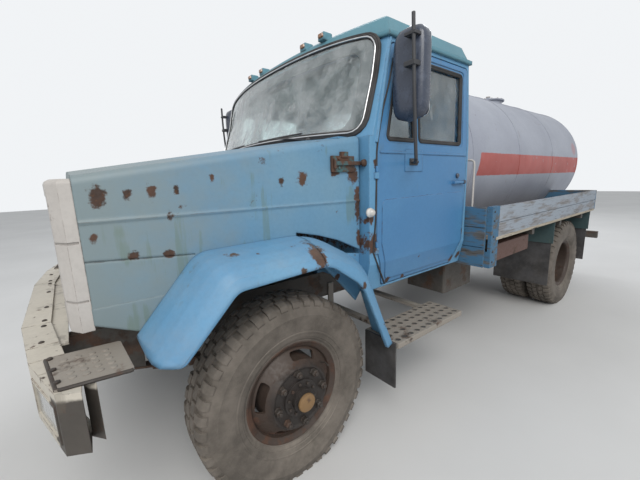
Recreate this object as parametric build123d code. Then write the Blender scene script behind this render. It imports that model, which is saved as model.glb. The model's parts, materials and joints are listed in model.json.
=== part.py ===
from build123d import *
import math
import os

# Bonneted two-axle gas tanker truck, millimetres, +Z up, nose towards +X, driver's side towards +Y.
# Every x below is measured from the front axle, and every part is moved to the bounding-box origin on export.

# Whole vehicle
WHEELBASE = 3800.0
NOSE_X = 1045.0

# Tyres and wheels
TYRE_R = 509.0
TYRE_HALF_W = 129.0
FRONT_WHEEL_Z = 475.0
REAR_WHEEL_Z = 490.0
FRONT_WHEEL_Y = 943.0
REAR_OUTER_Y = 1073.0
RIM_R = 280.0
RIM_HALF_W = 98.0
RIM_WALL = 9.0
DISC_OFFSET = 146.5
DISC_T = 10.0
DISC_LIP = 6.0
REAR_INNER_Y = REAR_OUTER_Y - 2 * DISC_OFFSET
NUT_CIRCLE_R = 137.5
NUT_COUNT = 8
NUT_R = 15.0
NUT_LENGTH = 26.0
HAND_HOLES = 4
HAND_HOLE_R0 = 190.0
HAND_HOLE_R1 = 227.0
HAND_HOLE_HALF_ANGLE = 21.0
HAND_HOLE_PHASE = -16.0
NUT_PHASE = 6.0
RUN_FIT = 0.05

# Frame
RAIL_OUTER_Y = 432.0
RAIL_FLANGE = 67.0
RAIL_WALL = 8.0
RAIL_TOP_Z = 860.0
RAIL_HEIGHT = 200.0
RAIL_FRONT_X = 930.0
RAIL_REAR_X = -5450.0
RAIL_BOTTOM_Z = RAIL_TOP_Z - RAIL_HEIGHT
WEB_INNER_Y = RAIL_OUTER_Y - RAIL_WALL
SPRING_Y = RAIL_OUTER_Y - RAIL_FLANGE / 2

# Steering
KINGPIN_Y = 765.0
KINGPIN_R = 17.0
STEER_ARM_X = -190.0
STEER_ARM_Y = KINGPIN_Y

# Cab
CAB_REAR_X = -1625.0
CAB_FRONT_X = -545.0
CAB_FLOOR_Z = 930.0
CAB_SILL_Z = 885.0
GREENHOUSE_Z = 1800.0
ROOF_SEAM_Z = 2350.0
ROOF_TOP_Z = 2550.0
CAB_HALF_W = 1064.0
CAB_TOP_HALF_W = 1036.0
CAB_WALL = 55.0
DOOR_GAP = 6.0
GLASS = 6.0
GLASS_DEPTH = 20.0
HINGE_X = -608.0

# Bonnet unit
BONNET_FRONT_X = 785.0
BONNET_REAR_X = -530.0
BONNET_WALL = 25.0
COWL_FRONT_X = -410.0
COWL_Z = 1620.0
COWL_HALF_W = 955.0
COWL_GAP = 8.0
BONNET_PIVOT_X = 840.0
BONNET_PIVOT_Z = 1000.0
BONNET_PIN_R = 10.0
GRILLE_X = 868.0

# Wheel arches
FLARE_CREASE_Y = CAB_HALF_W + 126.0
FLARE_LIP = 17.0
FLARE_INNER_Y = CAB_HALF_W - 79.0
FRONT_FLARE_INNER_Y = 860.0
FLARE_WALL = 14.0
FLARE_SEAM_X = -105.0

# Tank
TANK_R = 830.0
TANK_RAIL_GAP = 20.0
TANK_Z = RAIL_TOP_Z + TANK_RAIL_GAP + TANK_R
TANK_REAR_X = -5340.0
TANK_FRONT_X = -2165.0

# Platform
BED_Z = 1080.0
BED_BOARD = 35.0
BED_HALF_W = 1250.0
BED_FRONT_X = -1680.0
BED_OVERHANG = 800.0
BED_REAR_X = -WHEELBASE - BED_OVERHANG
BOARD_TOP_Z = 1325.0


def prism_x(face, x0, x1):
    """Extrude a face drawn in (y, z) from x0 to x1."""
    return extrude(Plane(origin=(x0, 0, 0), x_dir=(0, 1, 0), z_dir=(1, 0, 0)) * face, x1 - x0)


def prism_y(face, y0, y1):
    """Extrude a face drawn in (x, z) from y0 to y1."""
    return extrude(Plane(origin=(0, y1, 0), x_dir=(1, 0, 0), z_dir=(0, -1, 0)) * face, y1 - y0)


def prism_z(face, z0, z1):
    """Extrude a face drawn in (x, y) from z0 to z1."""
    return extrude(Plane(origin=(0, 0, z0)) * face, z1 - z0)


def poly(*points):
    return make_face(Polyline(*points, close=True))


def soft_poly(radius, *points):
    return make_face(FilletPolyline(*points, radius=radius, close=True))


def box(x0, x1, y0, y1, z0, z1):
    return Pos((x0 + x1) / 2, (y0 + y1) / 2, (z0 + z1) / 2) * Box(abs(x1 - x0), abs(y1 - y0), abs(z1 - z0))


def rod_x(x0, x1, y, z, r):
    return Pos((x0 + x1) / 2, y, z) * Rot(0, 90, 0) * Cylinder(r, abs(x1 - x0))


def rod_y(x, y0, y1, z, r):
    return Pos(x, (y0 + y1) / 2, z) * Rot(90, 0, 0) * Cylinder(r, abs(y1 - y0))


def rod_z(x, y, z0, z1, r):
    return Pos(x, y, (z0 + z1) / 2) * Cylinder(r, abs(z1 - z0))


def other_side(shape):
    """The same piece on the other side of the truck."""
    return mirror(shape, Plane.XZ)


def both(shape):
    return Compound([shape, other_side(shape)])


def turned(profile, x, z):
    """Revolve a face drawn as (y, radius) about the Y axis through (x, z)."""
    face = Plane(origin=(0, 0, 0), x_dir=(0, 1, 0), z_dir=(1, 0, 0)) * profile
    return Pos(x, 0, z) * revolve(face, Axis.Y, 360)


PARTS = {}


def keep(node, shape):
    PARTS[node] = shape


# Frame rails, two channels open to the inside
def rail():
    y1 = RAIL_OUTER_Y
    y0 = y1 - RAIL_FLANGE
    z0 = RAIL_BOTTOM_Z
    z1 = RAIL_TOP_Z
    t = RAIL_WALL
    section = poly((y0, z0), (y1, z0), (y1, z1), (y0, z1), (y0, z1 - t), (y1 - t, z1 - t), (y1 - t, z0 + t), (y0, z0 + t))
    return prism_x(section, RAIL_REAR_X, RAIL_FRONT_X)


# Cross members: centre x, half width in x, bottom z, top z
CROSS_MEMBERS = [
    (740.0, 45.0, 690.0, 840.0),
    (-1080.0, 35.0, 700.0, 760.0),
    (-1750.0, 35.0, 690.0, 830.0),
    (-WHEELBASE + 650.0, 35.0, 690.0, 830.0),
    (-WHEELBASE - 600.0, 35.0, 690.0, 830.0),
    (RAIL_REAR_X + 50.0, 35.0, 680.0, 840.0),
]
frame = rail() + other_side(rail())
for x, half, z0, z1 in CROSS_MEMBERS:
    frame += box(x - half, x + half, -WEB_INNER_Y, WEB_INNER_Y, z0, z1)
keep("frame", frame)

# Front bumper: outer edge in plan, from the centre to the end, as (x, y)
BUMPER_TOP_Z = 950.0
BUMPER_BOTTOM_Z = 735.0
BUMPER_DEPTH = 105.0
BUMPER_WALL = 9.0
BUMPER_PLAN = [(NOSE_X, 0.0), (NOSE_X, 420.0), (995.0, 840.0), (915.0, 1135.0), (850.0, 1170.0)]
LAMP_Z0 = 775.0
LAMP_Z1 = 895.0
LAMP_FROM = 0.12
LAMP_TO = 0.9


def bumper_outline(inset, back):
    """Plan of the bumper, its outer face moved back by inset and its rear edge at back behind it."""
    front = [(x - inset, y - inset * 0.35 * (y > 900)) for x, y in BUMPER_PLAN]
    rear = [(x - back, y) for x, y in BUMPER_PLAN[:-1]]
    rear.append((BUMPER_PLAN[-1][0] - 4.0, BUMPER_PLAN[-1][1] - back * 0.8))
    half = front + list(reversed(rear))
    mirrored = [(x, -y) for x, y in front[1:]]
    rear_mirrored = [(x, -y) for x, y in rear[1:]]
    return poly(*(list(reversed(front[1:])) + [front[0]] + mirrored + list(reversed(rear_mirrored)) + [rear[0]] + rear[1:]))


def lamp_prism(grow, depth_front, depth_back):
    """The block behind a headlamp opening, square to the angled corner of the bumper."""
    (xa, ya), (xb, yb) = BUMPER_PLAN[2], BUMPER_PLAN[3]
    ax = xa + (xb - xa) * LAMP_FROM
    ay = ya + (yb - ya) * LAMP_FROM
    bx = xa + (xb - xa) * LAMP_TO
    by = ya + (yb - ya) * LAMP_TO
    length = math.hypot(bx - ax, by - ay)
    tx, ty = (bx - ax) / length, (by - ay) / length
    nx, ny = ty, -tx
    ax, ay = ax - tx * grow, ay - ty * grow
    bx, by = bx + tx * grow, by + ty * grow
    face = poly(
        (ax + nx * depth_front, ay + ny * depth_front),
        (bx + nx * depth_front, by + ny * depth_front),
        (bx - nx * depth_back, by - ny * depth_back),
        (ax - nx * depth_back, ay - ny * depth_back),
    )
    return prism_z(face, LAMP_Z0 - grow, LAMP_Z1 + grow)


bumper = prism_z(bumper_outline(0, BUMPER_DEPTH), BUMPER_BOTTOM_Z, BUMPER_TOP_Z)
bumper -= prism_z(bumper_outline(BUMPER_WALL, BUMPER_DEPTH + 60), BUMPER_BOTTOM_Z + BUMPER_WALL, BUMPER_TOP_Z - BUMPER_WALL)
lamp_hole = lamp_prism(0, 40, 40)
bumper -= lamp_hole
bumper -= other_side(lamp_hole)
BRACKET = box(RAIL_FRONT_X, NOSE_X - 6, 372, RAIL_OUTER_Y, BUMPER_BOTTOM_Z + 6, RAIL_TOP_Z)
bumper += BRACKET
bumper += other_side(BRACKET)

# Pressed lines of the bumper: two grooves along its face, joints across it, a second plate behind the middle
GROOVE_DEPTH = 4.0
FACE_GROOVES = [(790.0, 806.0), (872.0, 888.0)]
BUMPER_JOINTS = [420.0, 700.0, 840.0, 960.0]
JOINT_HALF = 3.0
SECOND_PLATE_BACK = 62.0
bumper_skin = prism_z(bumper_outline(-1, 40), BUMPER_BOTTOM_Z, BUMPER_TOP_Z)
bumper_skin -= prism_z(bumper_outline(GROOVE_DEPTH, 60), BUMPER_BOTTOM_Z - 1, BUMPER_TOP_Z + 1)
face_width = BUMPER_PLAN[2][1] - 20
for z0, z1 in FACE_GROOVES:
    bumper -= bumper_skin & box(900, NOSE_X + 5, -face_width, face_width, z0, z1)
for y in BUMPER_JOINTS:
    for side in (1, -1):
        joint = box(800, NOSE_X + 5, side * y - JOINT_HALF, side * y + JOINT_HALF, BUMPER_TOP_Z - GROOVE_DEPTH, BUMPER_TOP_Z + 1)
        bumper -= joint
second_x = NOSE_X - BUMPER_DEPTH
bumper += box(second_x - SECOND_PLATE_BACK, second_x, -BUMPER_JOINTS[1], BUMPER_JOINTS[1], BUMPER_TOP_Z - 22, BUMPER_TOP_Z - 22 + BUMPER_WALL)
bumper += box(second_x, second_x + BUMPER_WALL, -BUMPER_JOINTS[1], BUMPER_JOINTS[1], BUMPER_TOP_Z - 22, BUMPER_TOP_Z - BUMPER_WALL)
BEZEL = 10.0
bezel = lamp_prism(BEZEL, 4, 6) - lamp_hole
bumper += bezel
bumper += other_side(bezel)
keep("front_bumper", bumper)

# Headlamps: a bucket that fills the opening, with its lens standing a little back from the bumper face
LAMP_FIT = 0.3
lamp = lamp_prism(-LAMP_FIT, -3, 60)
keep("headlamps", both(lamp))

# Foot plates on the bumper ends
STEP_T = 8.0
STEP_PLAN = [(950.0, 850.0), (918.0, 1118.0), (700.0, 1150.0), (712.0, 880.0)]
foot_plate = prism_z(soft_poly(14, *STEP_PLAN), BUMPER_TOP_Z, BUMPER_TOP_Z + STEP_T)
keep("bumper_steps", both(foot_plate))

# Front axle beam with its spring pads and kingpin bosses: y, bottom and top above the spindle's centre
BEAM = [(0.0, -140.0, -60.0), (430.0, -140.0, -60.0), (560.0, -110.0, -30.0), (700.0, -50.0, 30.0), (KINGPIN_Y, -40.0, 40.0)]
BEAM_HALF_X = 42.0
SPRING_SEAT_Z = FRONT_WHEEL_Z - 25.0
BOSS_R = 36.0
BOSS_HALF_H = 55.0
SPRING_PAD_HALF_X = 60.0
SPRING_PAD_HALF_Y = 52.0
beam_top = [(y, FRONT_WHEEL_Z + top) for y, bottom, top in BEAM]
beam_bottom = [(y, FRONT_WHEEL_Z + bottom) for y, bottom, top in BEAM]
axle_half = prism_x(poly(*beam_top, *reversed(beam_bottom)), -BEAM_HALF_X, BEAM_HALF_X)
pad_y0 = SPRING_Y - SPRING_PAD_HALF_Y
pad_y1 = SPRING_Y + SPRING_PAD_HALF_Y
axle_half += box(-SPRING_PAD_HALF_X, SPRING_PAD_HALF_X, pad_y0, pad_y1, SPRING_SEAT_Z - 50, SPRING_SEAT_Z)
axle_half += rod_z(0, KINGPIN_Y, FRONT_WHEEL_Z - BOSS_HALF_H, FRONT_WHEEL_Z + BOSS_HALF_H, BOSS_R)
axle_half -= rod_z(0, KINGPIN_Y, FRONT_WHEEL_Z - 100, FRONT_WHEEL_Z + 100, KINGPIN_R + RUN_FIT)
keep("front_axle", axle_half + other_side(axle_half))

# Leaf springs. Leaves from the bottom up: half length of each
LEAF_T = 12.0
LEAF_W = 65.0


def leaf_pack(axle_x, seat_z, camber_r, half_lengths, y):
    """Leaves that share one centre of curvature above the axle, shortest at the bottom."""
    centre_z = seat_z + camber_r
    leaves = None
    for i, half in enumerate(half_lengths):
        r_out = camber_r - i * LEAF_T
        r_in = r_out - LEAF_T
        a = math.asin(half / camber_r)
        ring = poly_arc(axle_x, centre_z, r_out, r_in, a)
        leaf = prism_y(ring, y - LEAF_W / 2, y + LEAF_W / 2)
        leaves = leaf if leaves is None else leaves + leaf
    return leaves


def poly_arc(cx, cz, r_out, r_in, a):
    """A band between two arcs that hang below the centre (cx, cz)."""
    def at(r, t):
        return (cx + r * math.sin(t), cz - r * math.cos(t))
    outer = ThreePointArc(at(r_out, -a), at(r_out, 0), at(r_out, a))
    inner = ThreePointArc(at(r_in, -a), at(r_in, 0), at(r_in, a))
    left = Line(at(r_out, -a), at(r_in, -a))
    right = Line(at(r_out, a), at(r_in, a))
    return make_face(Curve() + [outer, right, inner, left])


FRONT_LEAVES = [260.0, 360.0, 460.0, 560.0, 660.0]
REAR_LEAVES = [260.0, 360.0, 460.0, 560.0, 640.0]
REAR_SEAT_Z = 555.0
CLAMP_T = 12.0
U_BOLT_R = 7.0
U_BOLT_X = 40.0
U_BOLT_Y = LEAF_W / 2 + U_BOLT_R + 1


def clamp(axle_x, seat_z, leaves):
    """The clamp plate on top of a leaf pack, with four bolt legs down to the axle's seat."""
    top = seat_z + leaves * LEAF_T
    plate = box(axle_x - 60, axle_x + 60, SPRING_Y - SPRING_PAD_HALF_Y, SPRING_Y + SPRING_PAD_HALF_Y, top, top + CLAMP_T)
    for dx in (U_BOLT_X, -U_BOLT_X):
        for dy in (U_BOLT_Y, -U_BOLT_Y):
            plate += rod_z(axle_x + dx, SPRING_Y + dy, seat_z, top + CLAMP_T + 24, U_BOLT_R)
    return plate


front_spring = leaf_pack(0, SPRING_SEAT_Z, 2600.0, FRONT_LEAVES, SPRING_Y) + clamp(0, SPRING_SEAT_Z, len(FRONT_LEAVES))
rear_spring = leaf_pack(-WHEELBASE, REAR_SEAT_Z, 9000.0, REAR_LEAVES, SPRING_Y) + clamp(-WHEELBASE, REAR_SEAT_Z, len(REAR_LEAVES))
keep("leaf_springs", Compound([front_spring, rear_spring, other_side(front_spring), other_side(rear_spring)]))
FRONT_EYE_X = FRONT_LEAVES[-1] - 40
REAR_EYE_X = REAR_LEAVES[-1] - 40


frame_brackets = []
for eye in (FRONT_EYE_X, -FRONT_EYE_X):
    block = box(eye - 38, eye + 38, SPRING_Y - 30, SPRING_Y + 30, SPRING_SEAT_Z, RAIL_BOTTOM_Z)
    under = poly_arc(0, SPRING_SEAT_Z + 2600.0, 2600.0 + 400, 2600.0 - len(FRONT_LEAVES) * LEAF_T, 0.45)
    block -= prism_y(under, SPRING_Y - 60, SPRING_Y + 60)
    frame_brackets.append(block)
for eye in (REAR_EYE_X, -REAR_EYE_X):
    block = box(-WHEELBASE + eye - 38, -WHEELBASE + eye + 38, SPRING_Y - 30, SPRING_Y + 30, REAR_SEAT_Z, RAIL_BOTTOM_Z)
    under = poly_arc(-WHEELBASE, REAR_SEAT_Z + 9000.0, 9000.0 + 400, 9000.0 - len(REAR_LEAVES) * LEAF_T, 0.12)
    block -= prism_y(under, SPRING_Y - 60, SPRING_Y + 60)
    frame_brackets.append(block)

# Rear axle: tubes, a round differential housing and seats for the springs
AXLE_TUBE_R = 62.0
AXLE_END_Y = 600.0
SPINDLE_R = 40.0
DIFF_R = 195.0
rear_axle = rod_y(-WHEELBASE, -AXLE_END_Y, AXLE_END_Y, REAR_WHEEL_Z, AXLE_TUBE_R)
housing_profile = poly((-150, 0), (-150, 110), (-70, DIFF_R), (70, DIFF_R), (150, 110), (150, 0))
rear_axle += turned(housing_profile, -WHEELBASE, REAR_WHEEL_Z)
rear_axle += rod_x(-WHEELBASE, -WHEELBASE + 320, 0, REAR_WHEEL_Z, 85)
REAR_SPINDLE_END_Y = 1010.0
rear_axle += rod_y(-WHEELBASE, -REAR_SPINDLE_END_Y, REAR_SPINDLE_END_Y, REAR_WHEEL_Z, SPINDLE_R)
for side in (1, -1):
    y = side * SPRING_Y
    rear_axle += box(-WHEELBASE - 60, -WHEELBASE + 60, y - SPRING_PAD_HALF_Y, y + SPRING_PAD_HALF_Y, REAR_WHEEL_Z, REAR_SEAT_Z)
keep("rear_axle", rear_axle)

# Engine block with its feet on the rails
engine = box(-440, 600, -270, 270, 600, 1180)
engine += box(-380, 560, -200, 200, 1180, 1320)
engine = fillet(engine.edges().filter_by(Axis.X), 25)
for x in (420.0, -330.0):
    engine += box(x - 40, x + 40, -WEB_INNER_Y, WEB_INNER_Y, 700, 760)

# Gearbox and propeller shaft
SHAFT_FRONT = (-1035.0, 640.0)
SHAFT_REAR = (-WHEELBASE + 320, REAR_WHEEL_Z)
gearbox = box(SHAFT_FRONT[0], -440, -165, 165, 570, 900)
gearbox = fillet(gearbox.edges().filter_by(Axis.X), 40)
shaft_len = math.hypot(SHAFT_REAR[0] - SHAFT_FRONT[0], SHAFT_REAR[1] - SHAFT_FRONT[1])
shaft_tilt = math.degrees(math.atan2(SHAFT_FRONT[1] - SHAFT_REAR[1], SHAFT_FRONT[0] - SHAFT_REAR[0]))
shaft_mid = ((SHAFT_FRONT[0] + SHAFT_REAR[0]) / 2, (SHAFT_FRONT[1] + SHAFT_REAR[1]) / 2)
SHAFT_R = 42.0
prop_shaft = Pos(shaft_mid[0], 0, shaft_mid[1]) * Rot(0, 90 - shaft_tilt, 0) * Cylinder(SHAFT_R, shaft_len + 40)
prop_shaft -= box(SHAFT_REAR[0] - 200, SHAFT_REAR[0], -100, 100, 300, 700)
prop_shaft -= box(SHAFT_FRONT[0], SHAFT_FRONT[0] + 200, -100, 100, 500, 800)
keep("driveline", gearbox + prop_shaft)

# Radiator on the front cross member
radiator = box(705, 775, -320, 320, 840, 1380)
keep("engine", Compound([engine, radiator]))

# Fuel tank on the right, battery box on the left, both against the rail's outer face
fuel_tank = prism_x(soft_poly(70, (-RAIL_OUTER_Y - 430, 430), (-RAIL_OUTER_Y, 430), (-RAIL_OUTER_Y, 850), (-RAIL_OUTER_Y - 430, 850)), -2600, -1720)
battery_box = box(-2250, -1760, RAIL_OUTER_Y, RAIL_OUTER_Y + 400, 520, 840)
battery_box = fillet(battery_box.edges().filter_by(Axis.Z), 20)
keep("frame_boxes", Compound([fuel_tank, battery_box]))


# Cab. The greenhouse narrows and its windshield leans back as z rises.
def cab_plan(z, inset):
    """Half width, rear x, corner x and centre x of the cab's plan at height z, moved in by inset."""
    t = (z - GREENHOUSE_Z) / (ROOF_SEAM_Z - GREENHOUSE_Z)
    half = CAB_HALF_W + (CAB_TOP_HALF_W - CAB_HALF_W) * t - inset
    corner = -575.0 - 165.0 * t - inset * 0.9
    centre = -410.0 - 205.0 * t - inset
    return half, CAB_REAR_X + inset, corner, centre


def cab_section(z, inset):
    half, rear, corner, centre = cab_plan(z, inset)
    a, b, c, d = (rear, -half, z), (corner, -half, z), (corner, half, z), (rear, half, z)
    return Face(Wire([Edge.make_line(a, b), Edge.make_three_point_arc(b, (centre, 0, z), c), Edge.make_line(c, d), Edge.make_line(d, a)]))


def greenhouse(z0, z1, inset):
    return Solid.make_loft([cab_section(z0, inset).outer_wire(), cab_section(z1, inset).outer_wire()], True)


SIDE_SECTION = [(1022.0, CAB_SILL_Z), (CAB_HALF_W, 1060.0), (CAB_HALF_W, GREENHOUSE_Z)]


def lower_cab(inset):
    pts = [(y - inset, z) for y, z in SIDE_SECTION]
    half = pts + [(-y, z) for y, z in reversed(pts)]
    return prism_x(poly(*half), CAB_REAR_X + inset, CAB_FRONT_X - inset)


def cowl_block(inset):
    """The cowl in front of the windshield's foot, as wide as the bonnet there."""
    half = COWL_HALF_W - inset
    return box(CAB_FRONT_X - 40, COWL_FRONT_X - inset, -half, half, COWL_Z + inset, GREENHOUSE_Z)


DOOR_OUTLINE = [
    (-762.0, 2318.0), (-612.0, 1760.0), (-611.0, 1330.0), (-611.0, 1150.0), (-690.0, 905.0),
    (-1500.0, 905.0), (-1585.0, 1080.0), (-1600.0, 1400.0), (-1600.0, 2318.0),
]
DOOR_CORNER_R = 24.0


def grown(points, gap, cx, cz):
    """The outline moved out by gap, away from its centre."""
    return [(x + math.copysign(gap, x - cx), z + math.copysign(gap, z - cz)) for x, z in points]


DOOR_MID = (-1100.0, 1600.0)
door_outline = soft_poly(DOOR_CORNER_R, *DOOR_OUTLINE)
door_hole = soft_poly(DOOR_CORNER_R + DOOR_GAP, *grown(DOOR_OUTLINE, DOOR_GAP, *DOOR_MID))
cab_outer = lower_cab(0) + greenhouse(GREENHOUSE_Z, ROOF_SEAM_Z, 0) + cowl_block(0)
cab_inner = lower_cab(CAB_WALL) + greenhouse(GREENHOUSE_Z - 1, ROOF_SEAM_Z + 1, CAB_WALL)
cab_inner -= box(CAB_REAR_X, 0, -1200, 1200, 0, CAB_FLOOR_Z + 30)
FLOOR_CUT = box(CAB_REAR_X - 10, 0, -RAIL_OUTER_Y - 420, RAIL_OUTER_Y + 420, 0, CAB_FLOOR_Z)
cab_shell = cab_outer - cab_inner - FLOOR_CUT


def side_slab(outer, inner):
    """The cab's side from its outer face moved in by outer to its inner face moved in by inner, long in x."""
    section = SIDE_SECTION + [(CAB_TOP_HALF_W, ROOF_SEAM_Z)]
    points = [(y - outer, z) for y, z in section] + [(y - inner, z) for y, z in reversed(section)]
    return prism_x(poly(*points), CAB_REAR_X - 100, CAB_FRONT_X + 100)


door_prism = prism_y(door_hole, 700, 1300) & side_slab(-20, CAB_WALL + DOOR_GAP)
cab_shell -= door_prism
cab_shell -= other_side(door_prism)

# Rain gutter up the windshield pillar, just ahead of the door
GUTTER = [(-594.0, 1765.0), (-607.0, 1765.0), (-757.0, 2345.0), (-744.0, 2345.0)]
GUTTER_PROUD = 8.0
gutter = prism_y(poly(*GUTTER), 700, 1300) & side_slab(-GUTTER_PROUD, 4)
cab_shell += gutter
cab_shell += other_side(gutter)

# Windshield and rear window openings, drawn in (y, z)
SCREEN = [(-915.0, 1845.0), (915.0, 1845.0), (905.0, 2310.0), (-905.0, 2310.0)]
REAR_GLASS = [(-560.0, 1800.0), (560.0, 1800.0), (550.0, 2220.0), (-550.0, 2220.0)]
SCREEN_R = 85.0
REAR_GLASS_R = 60.0
screen_prism = prism_x(soft_poly(SCREEN_R, *SCREEN), -900, -200)
rear_prism = prism_x(soft_poly(REAR_GLASS_R, *REAR_GLASS), CAB_REAR_X - 50, CAB_REAR_X + 200)
cab_shell = cab_shell - screen_prism - rear_prism
GLASS_FIT = 0.5


def glass_layer():
    outer = greenhouse(GREENHOUSE_Z - 40, ROOF_SEAM_Z + 20, GLASS_DEPTH)
    return outer - greenhouse(GREENHOUSE_Z - 41, ROOF_SEAM_Z + 21, GLASS_DEPTH + GLASS)


GLASS_SHEET = glass_layer()
screen_cut = prism_x(offset(soft_poly(SCREEN_R, *SCREEN), -GLASS_FIT), -900, -200)
rear_pane_cut = prism_x(offset(soft_poly(REAR_GLASS_R, *REAR_GLASS), -GLASS_FIT), CAB_REAR_X - 50, CAB_REAR_X + 200)
rear_window = box(CAB_REAR_X + GLASS_DEPTH, CAB_REAR_X + GLASS_DEPTH + GLASS, -1000, 1000, 1700, 2300) & rear_pane_cut
keep("cab_glass", Compound([GLASS_SHEET & screen_cut, rear_window]))

# Doors
QUARTER = [(-700.0, 1790.0), (-962.0, 1790.0), (-962.0, 2262.0), (-822.0, 2262.0)]
MAIN_GLASS = [(-1012.0, 1790.0), (-1505.0, 1790.0), (-1530.0, 2262.0), (-1012.0, 2262.0)]
PANE_R = 22.0
HINGE_Y = CAB_HALF_W + 2
HINGE_R = 11.0
HINGE_PIN_R = 6.0
HINGE_ZS = (1160.0, 1600.0)
HINGE_LEN = 36.0


door = side_slab(0, CAB_WALL) & prism_y(door_outline, 700, 1300)

# Pressed lines of the door: a raised lower panel, a belt bead, a shallow recess round both windows
LOWER_PANEL = [(-650.0, 1180.0), (-655.0, 1440.0), (-1572.0, 1448.0), (-1570.0, 1095.0), (-1488.0, 935.0), (-712.0, 935.0)]
PANEL_R = 38.0
PRESSED = 5.0
BELT_BEAD_Z = 1715.0
BELT_BEAD_HALF = 7.0
RECESS = [(-665.0, 1768.0), (-806.0, 2288.0), (-1560.0, 2288.0), (-1535.0, 1768.0)]
RECESS_R = 30.0
door += prism_y(soft_poly(PANEL_R, *LOWER_PANEL), 900, 1300) & side_slab(-PRESSED, PRESSED)
belt = poly((-632, BELT_BEAD_Z - BELT_BEAD_HALF), (-632, BELT_BEAD_Z + BELT_BEAD_HALF), (-1592, BELT_BEAD_Z + BELT_BEAD_HALF), (-1592, BELT_BEAD_Z - BELT_BEAD_HALF))
door += prism_y(belt, 900, 1300) & side_slab(-PRESSED, PRESSED)
door -= prism_y(soft_poly(RECESS_R, *RECESS), 900, 1300) & side_slab(-20, PRESSED)
for pane in (QUARTER, MAIN_GLASS):
    door -= prism_y(soft_poly(PANE_R, *pane), 700, 1300)

panes = [GLASS_SHEET & prism_y(offset(soft_poly(PANE_R, *pane), -GLASS_FIT), 700, 1300) for pane in (QUARTER, MAIN_GLASS)]
door_glass = Compound(panes)

HANDLE_Z = 1520.0
HANDLE_FEET = (-1536.0, -1420.0)
door += box(HANDLE_FEET[0] - 12, HANDLE_FEET[1] + 12, CAB_HALF_W + 16, CAB_HALF_W + 28, HANDLE_Z - 10, HANDLE_Z + 10)
for x in HANDLE_FEET:
    door += box(x - 12, x + 12, CAB_HALF_W - 5, CAB_HALF_W + 17, HANDLE_Z - 12, HANDLE_Z + 12)
for z in HINGE_ZS:
    cab_knuckle = rod_z(HINGE_X, HINGE_Y, z - HINGE_LEN, z - 0.05, HINGE_R)
    door_knuckle = rod_z(HINGE_X, HINGE_Y, z, z + HINGE_LEN, HINGE_R)
    door -= rod_z(HINGE_X, HINGE_Y, z - HINGE_LEN - 3, z, HINGE_R + 3)
    door += door_knuckle
    door -= rod_z(HINGE_X, HINGE_Y, z - 5, z + HINGE_LEN + 5, HINGE_PIN_R + RUN_FIT)
    pocket = rod_z(HINGE_X, HINGE_Y, z - 0.05, z + HINGE_LEN + 3, HINGE_R + 3)
    cab_side = cab_knuckle + rod_z(HINGE_X, HINGE_Y, z - HINGE_LEN, z + HINGE_LEN, HINGE_PIN_R)
    cab_side += box(HINGE_X + 2, HINGE_X + 24, HINGE_Y - 12, HINGE_Y + 8, z - HINGE_LEN, z - 0.05) - rod_z(HINGE_X, HINGE_Y, z - 99, z + 99, HINGE_R - 1)
    for turn in (lambda s: s, other_side):
        cab_shell -= turn(pocket)
        cab_shell += turn(cab_side)

# Cab feet on the rails
for x in (-680.0, -1520.0):
    for y in (398.0, -398.0):
        cab_shell += box(x - 40, x + 40, y - 30, y + 30, RAIL_TOP_Z, CAB_FLOOR_Z)
keep("cab_shell", cab_shell)
keep("door_left", door)
keep("door_right", other_side(door))
keep("door_glass_left", door_glass)
keep("door_glass_right", other_side(door_glass))

# Roof cap with its drip rail: z, inset of the plan at that height
ROOF = [(ROOF_SEAM_Z, -16.0), (ROOF_SEAM_Z + 26, -16.0), (ROOF_SEAM_Z + 34, 6.0), (ROOF_SEAM_Z + 120, 40.0), (ROOF_SEAM_Z + 165, 110.0), (ROOF_TOP_Z, 420.0)]


def roof_section(z, inset):
    half, rear, corner, centre = cab_plan(ROOF_SEAM_Z, inset)
    a, b, c, d = (rear, -half, z), (corner, -half, z), (corner, half, z), (rear, half, z)
    return Wire([Edge.make_line(a, b), Edge.make_three_point_arc(b, (centre, 0, z), c), Edge.make_line(c, d), Edge.make_line(d, a)])


roof = None
for (z0, i0), (z1, i1) in zip(ROOF, ROOF[1:]):
    layer = Solid.make_loft([roof_section(z0, i0), roof_section(z1, i1)], True)
    roof = layer if roof is None else roof + layer
roof_inner = Solid.make_loft([roof_section(ROOF_SEAM_Z - 5, CAB_WALL), roof_section(ROOF_SEAM_Z + 100, CAB_WALL + 45)], True)
roof -= roof_inner

# Small marker lamps on the roof's front slope
MARKER_X = -703.0
MARKER_YS = (310.0, 520.0)
MARKER_HALF = (36.0, 30.0)
MARKER_Z0 = ROOF_SEAM_Z + 126.0
MARKER_Z1 = ROOF_SEAM_Z + 178.0
for y in MARKER_YS:
    for side in (1, -1):
        hx, hy = MARKER_HALF
        base = box(MARKER_X - hx, MARKER_X + hx, side * y - hy, side * y + hy, MARKER_Z0, MARKER_Z1)
        roof += fillet(base.edges().group_by(Axis.Z)[-1], 14)
keep("cab_roof", roof)


# Bonnet: section half width, bottom z, shoulder z and crown z at the front and the rear
BONNET_SECTIONS = [(BONNET_FRONT_X, 900.0, 950.0, 1612.0, 1650.0), (BONNET_REAR_X, 1000.0, 950.0, 1806.0, 1850.0)]
SHOULDER_R = 34.0
SWAGE_Z = 1443.0
SWAGE_HALF = 10.0
SWAGE_PROUD = 6.0


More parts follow.
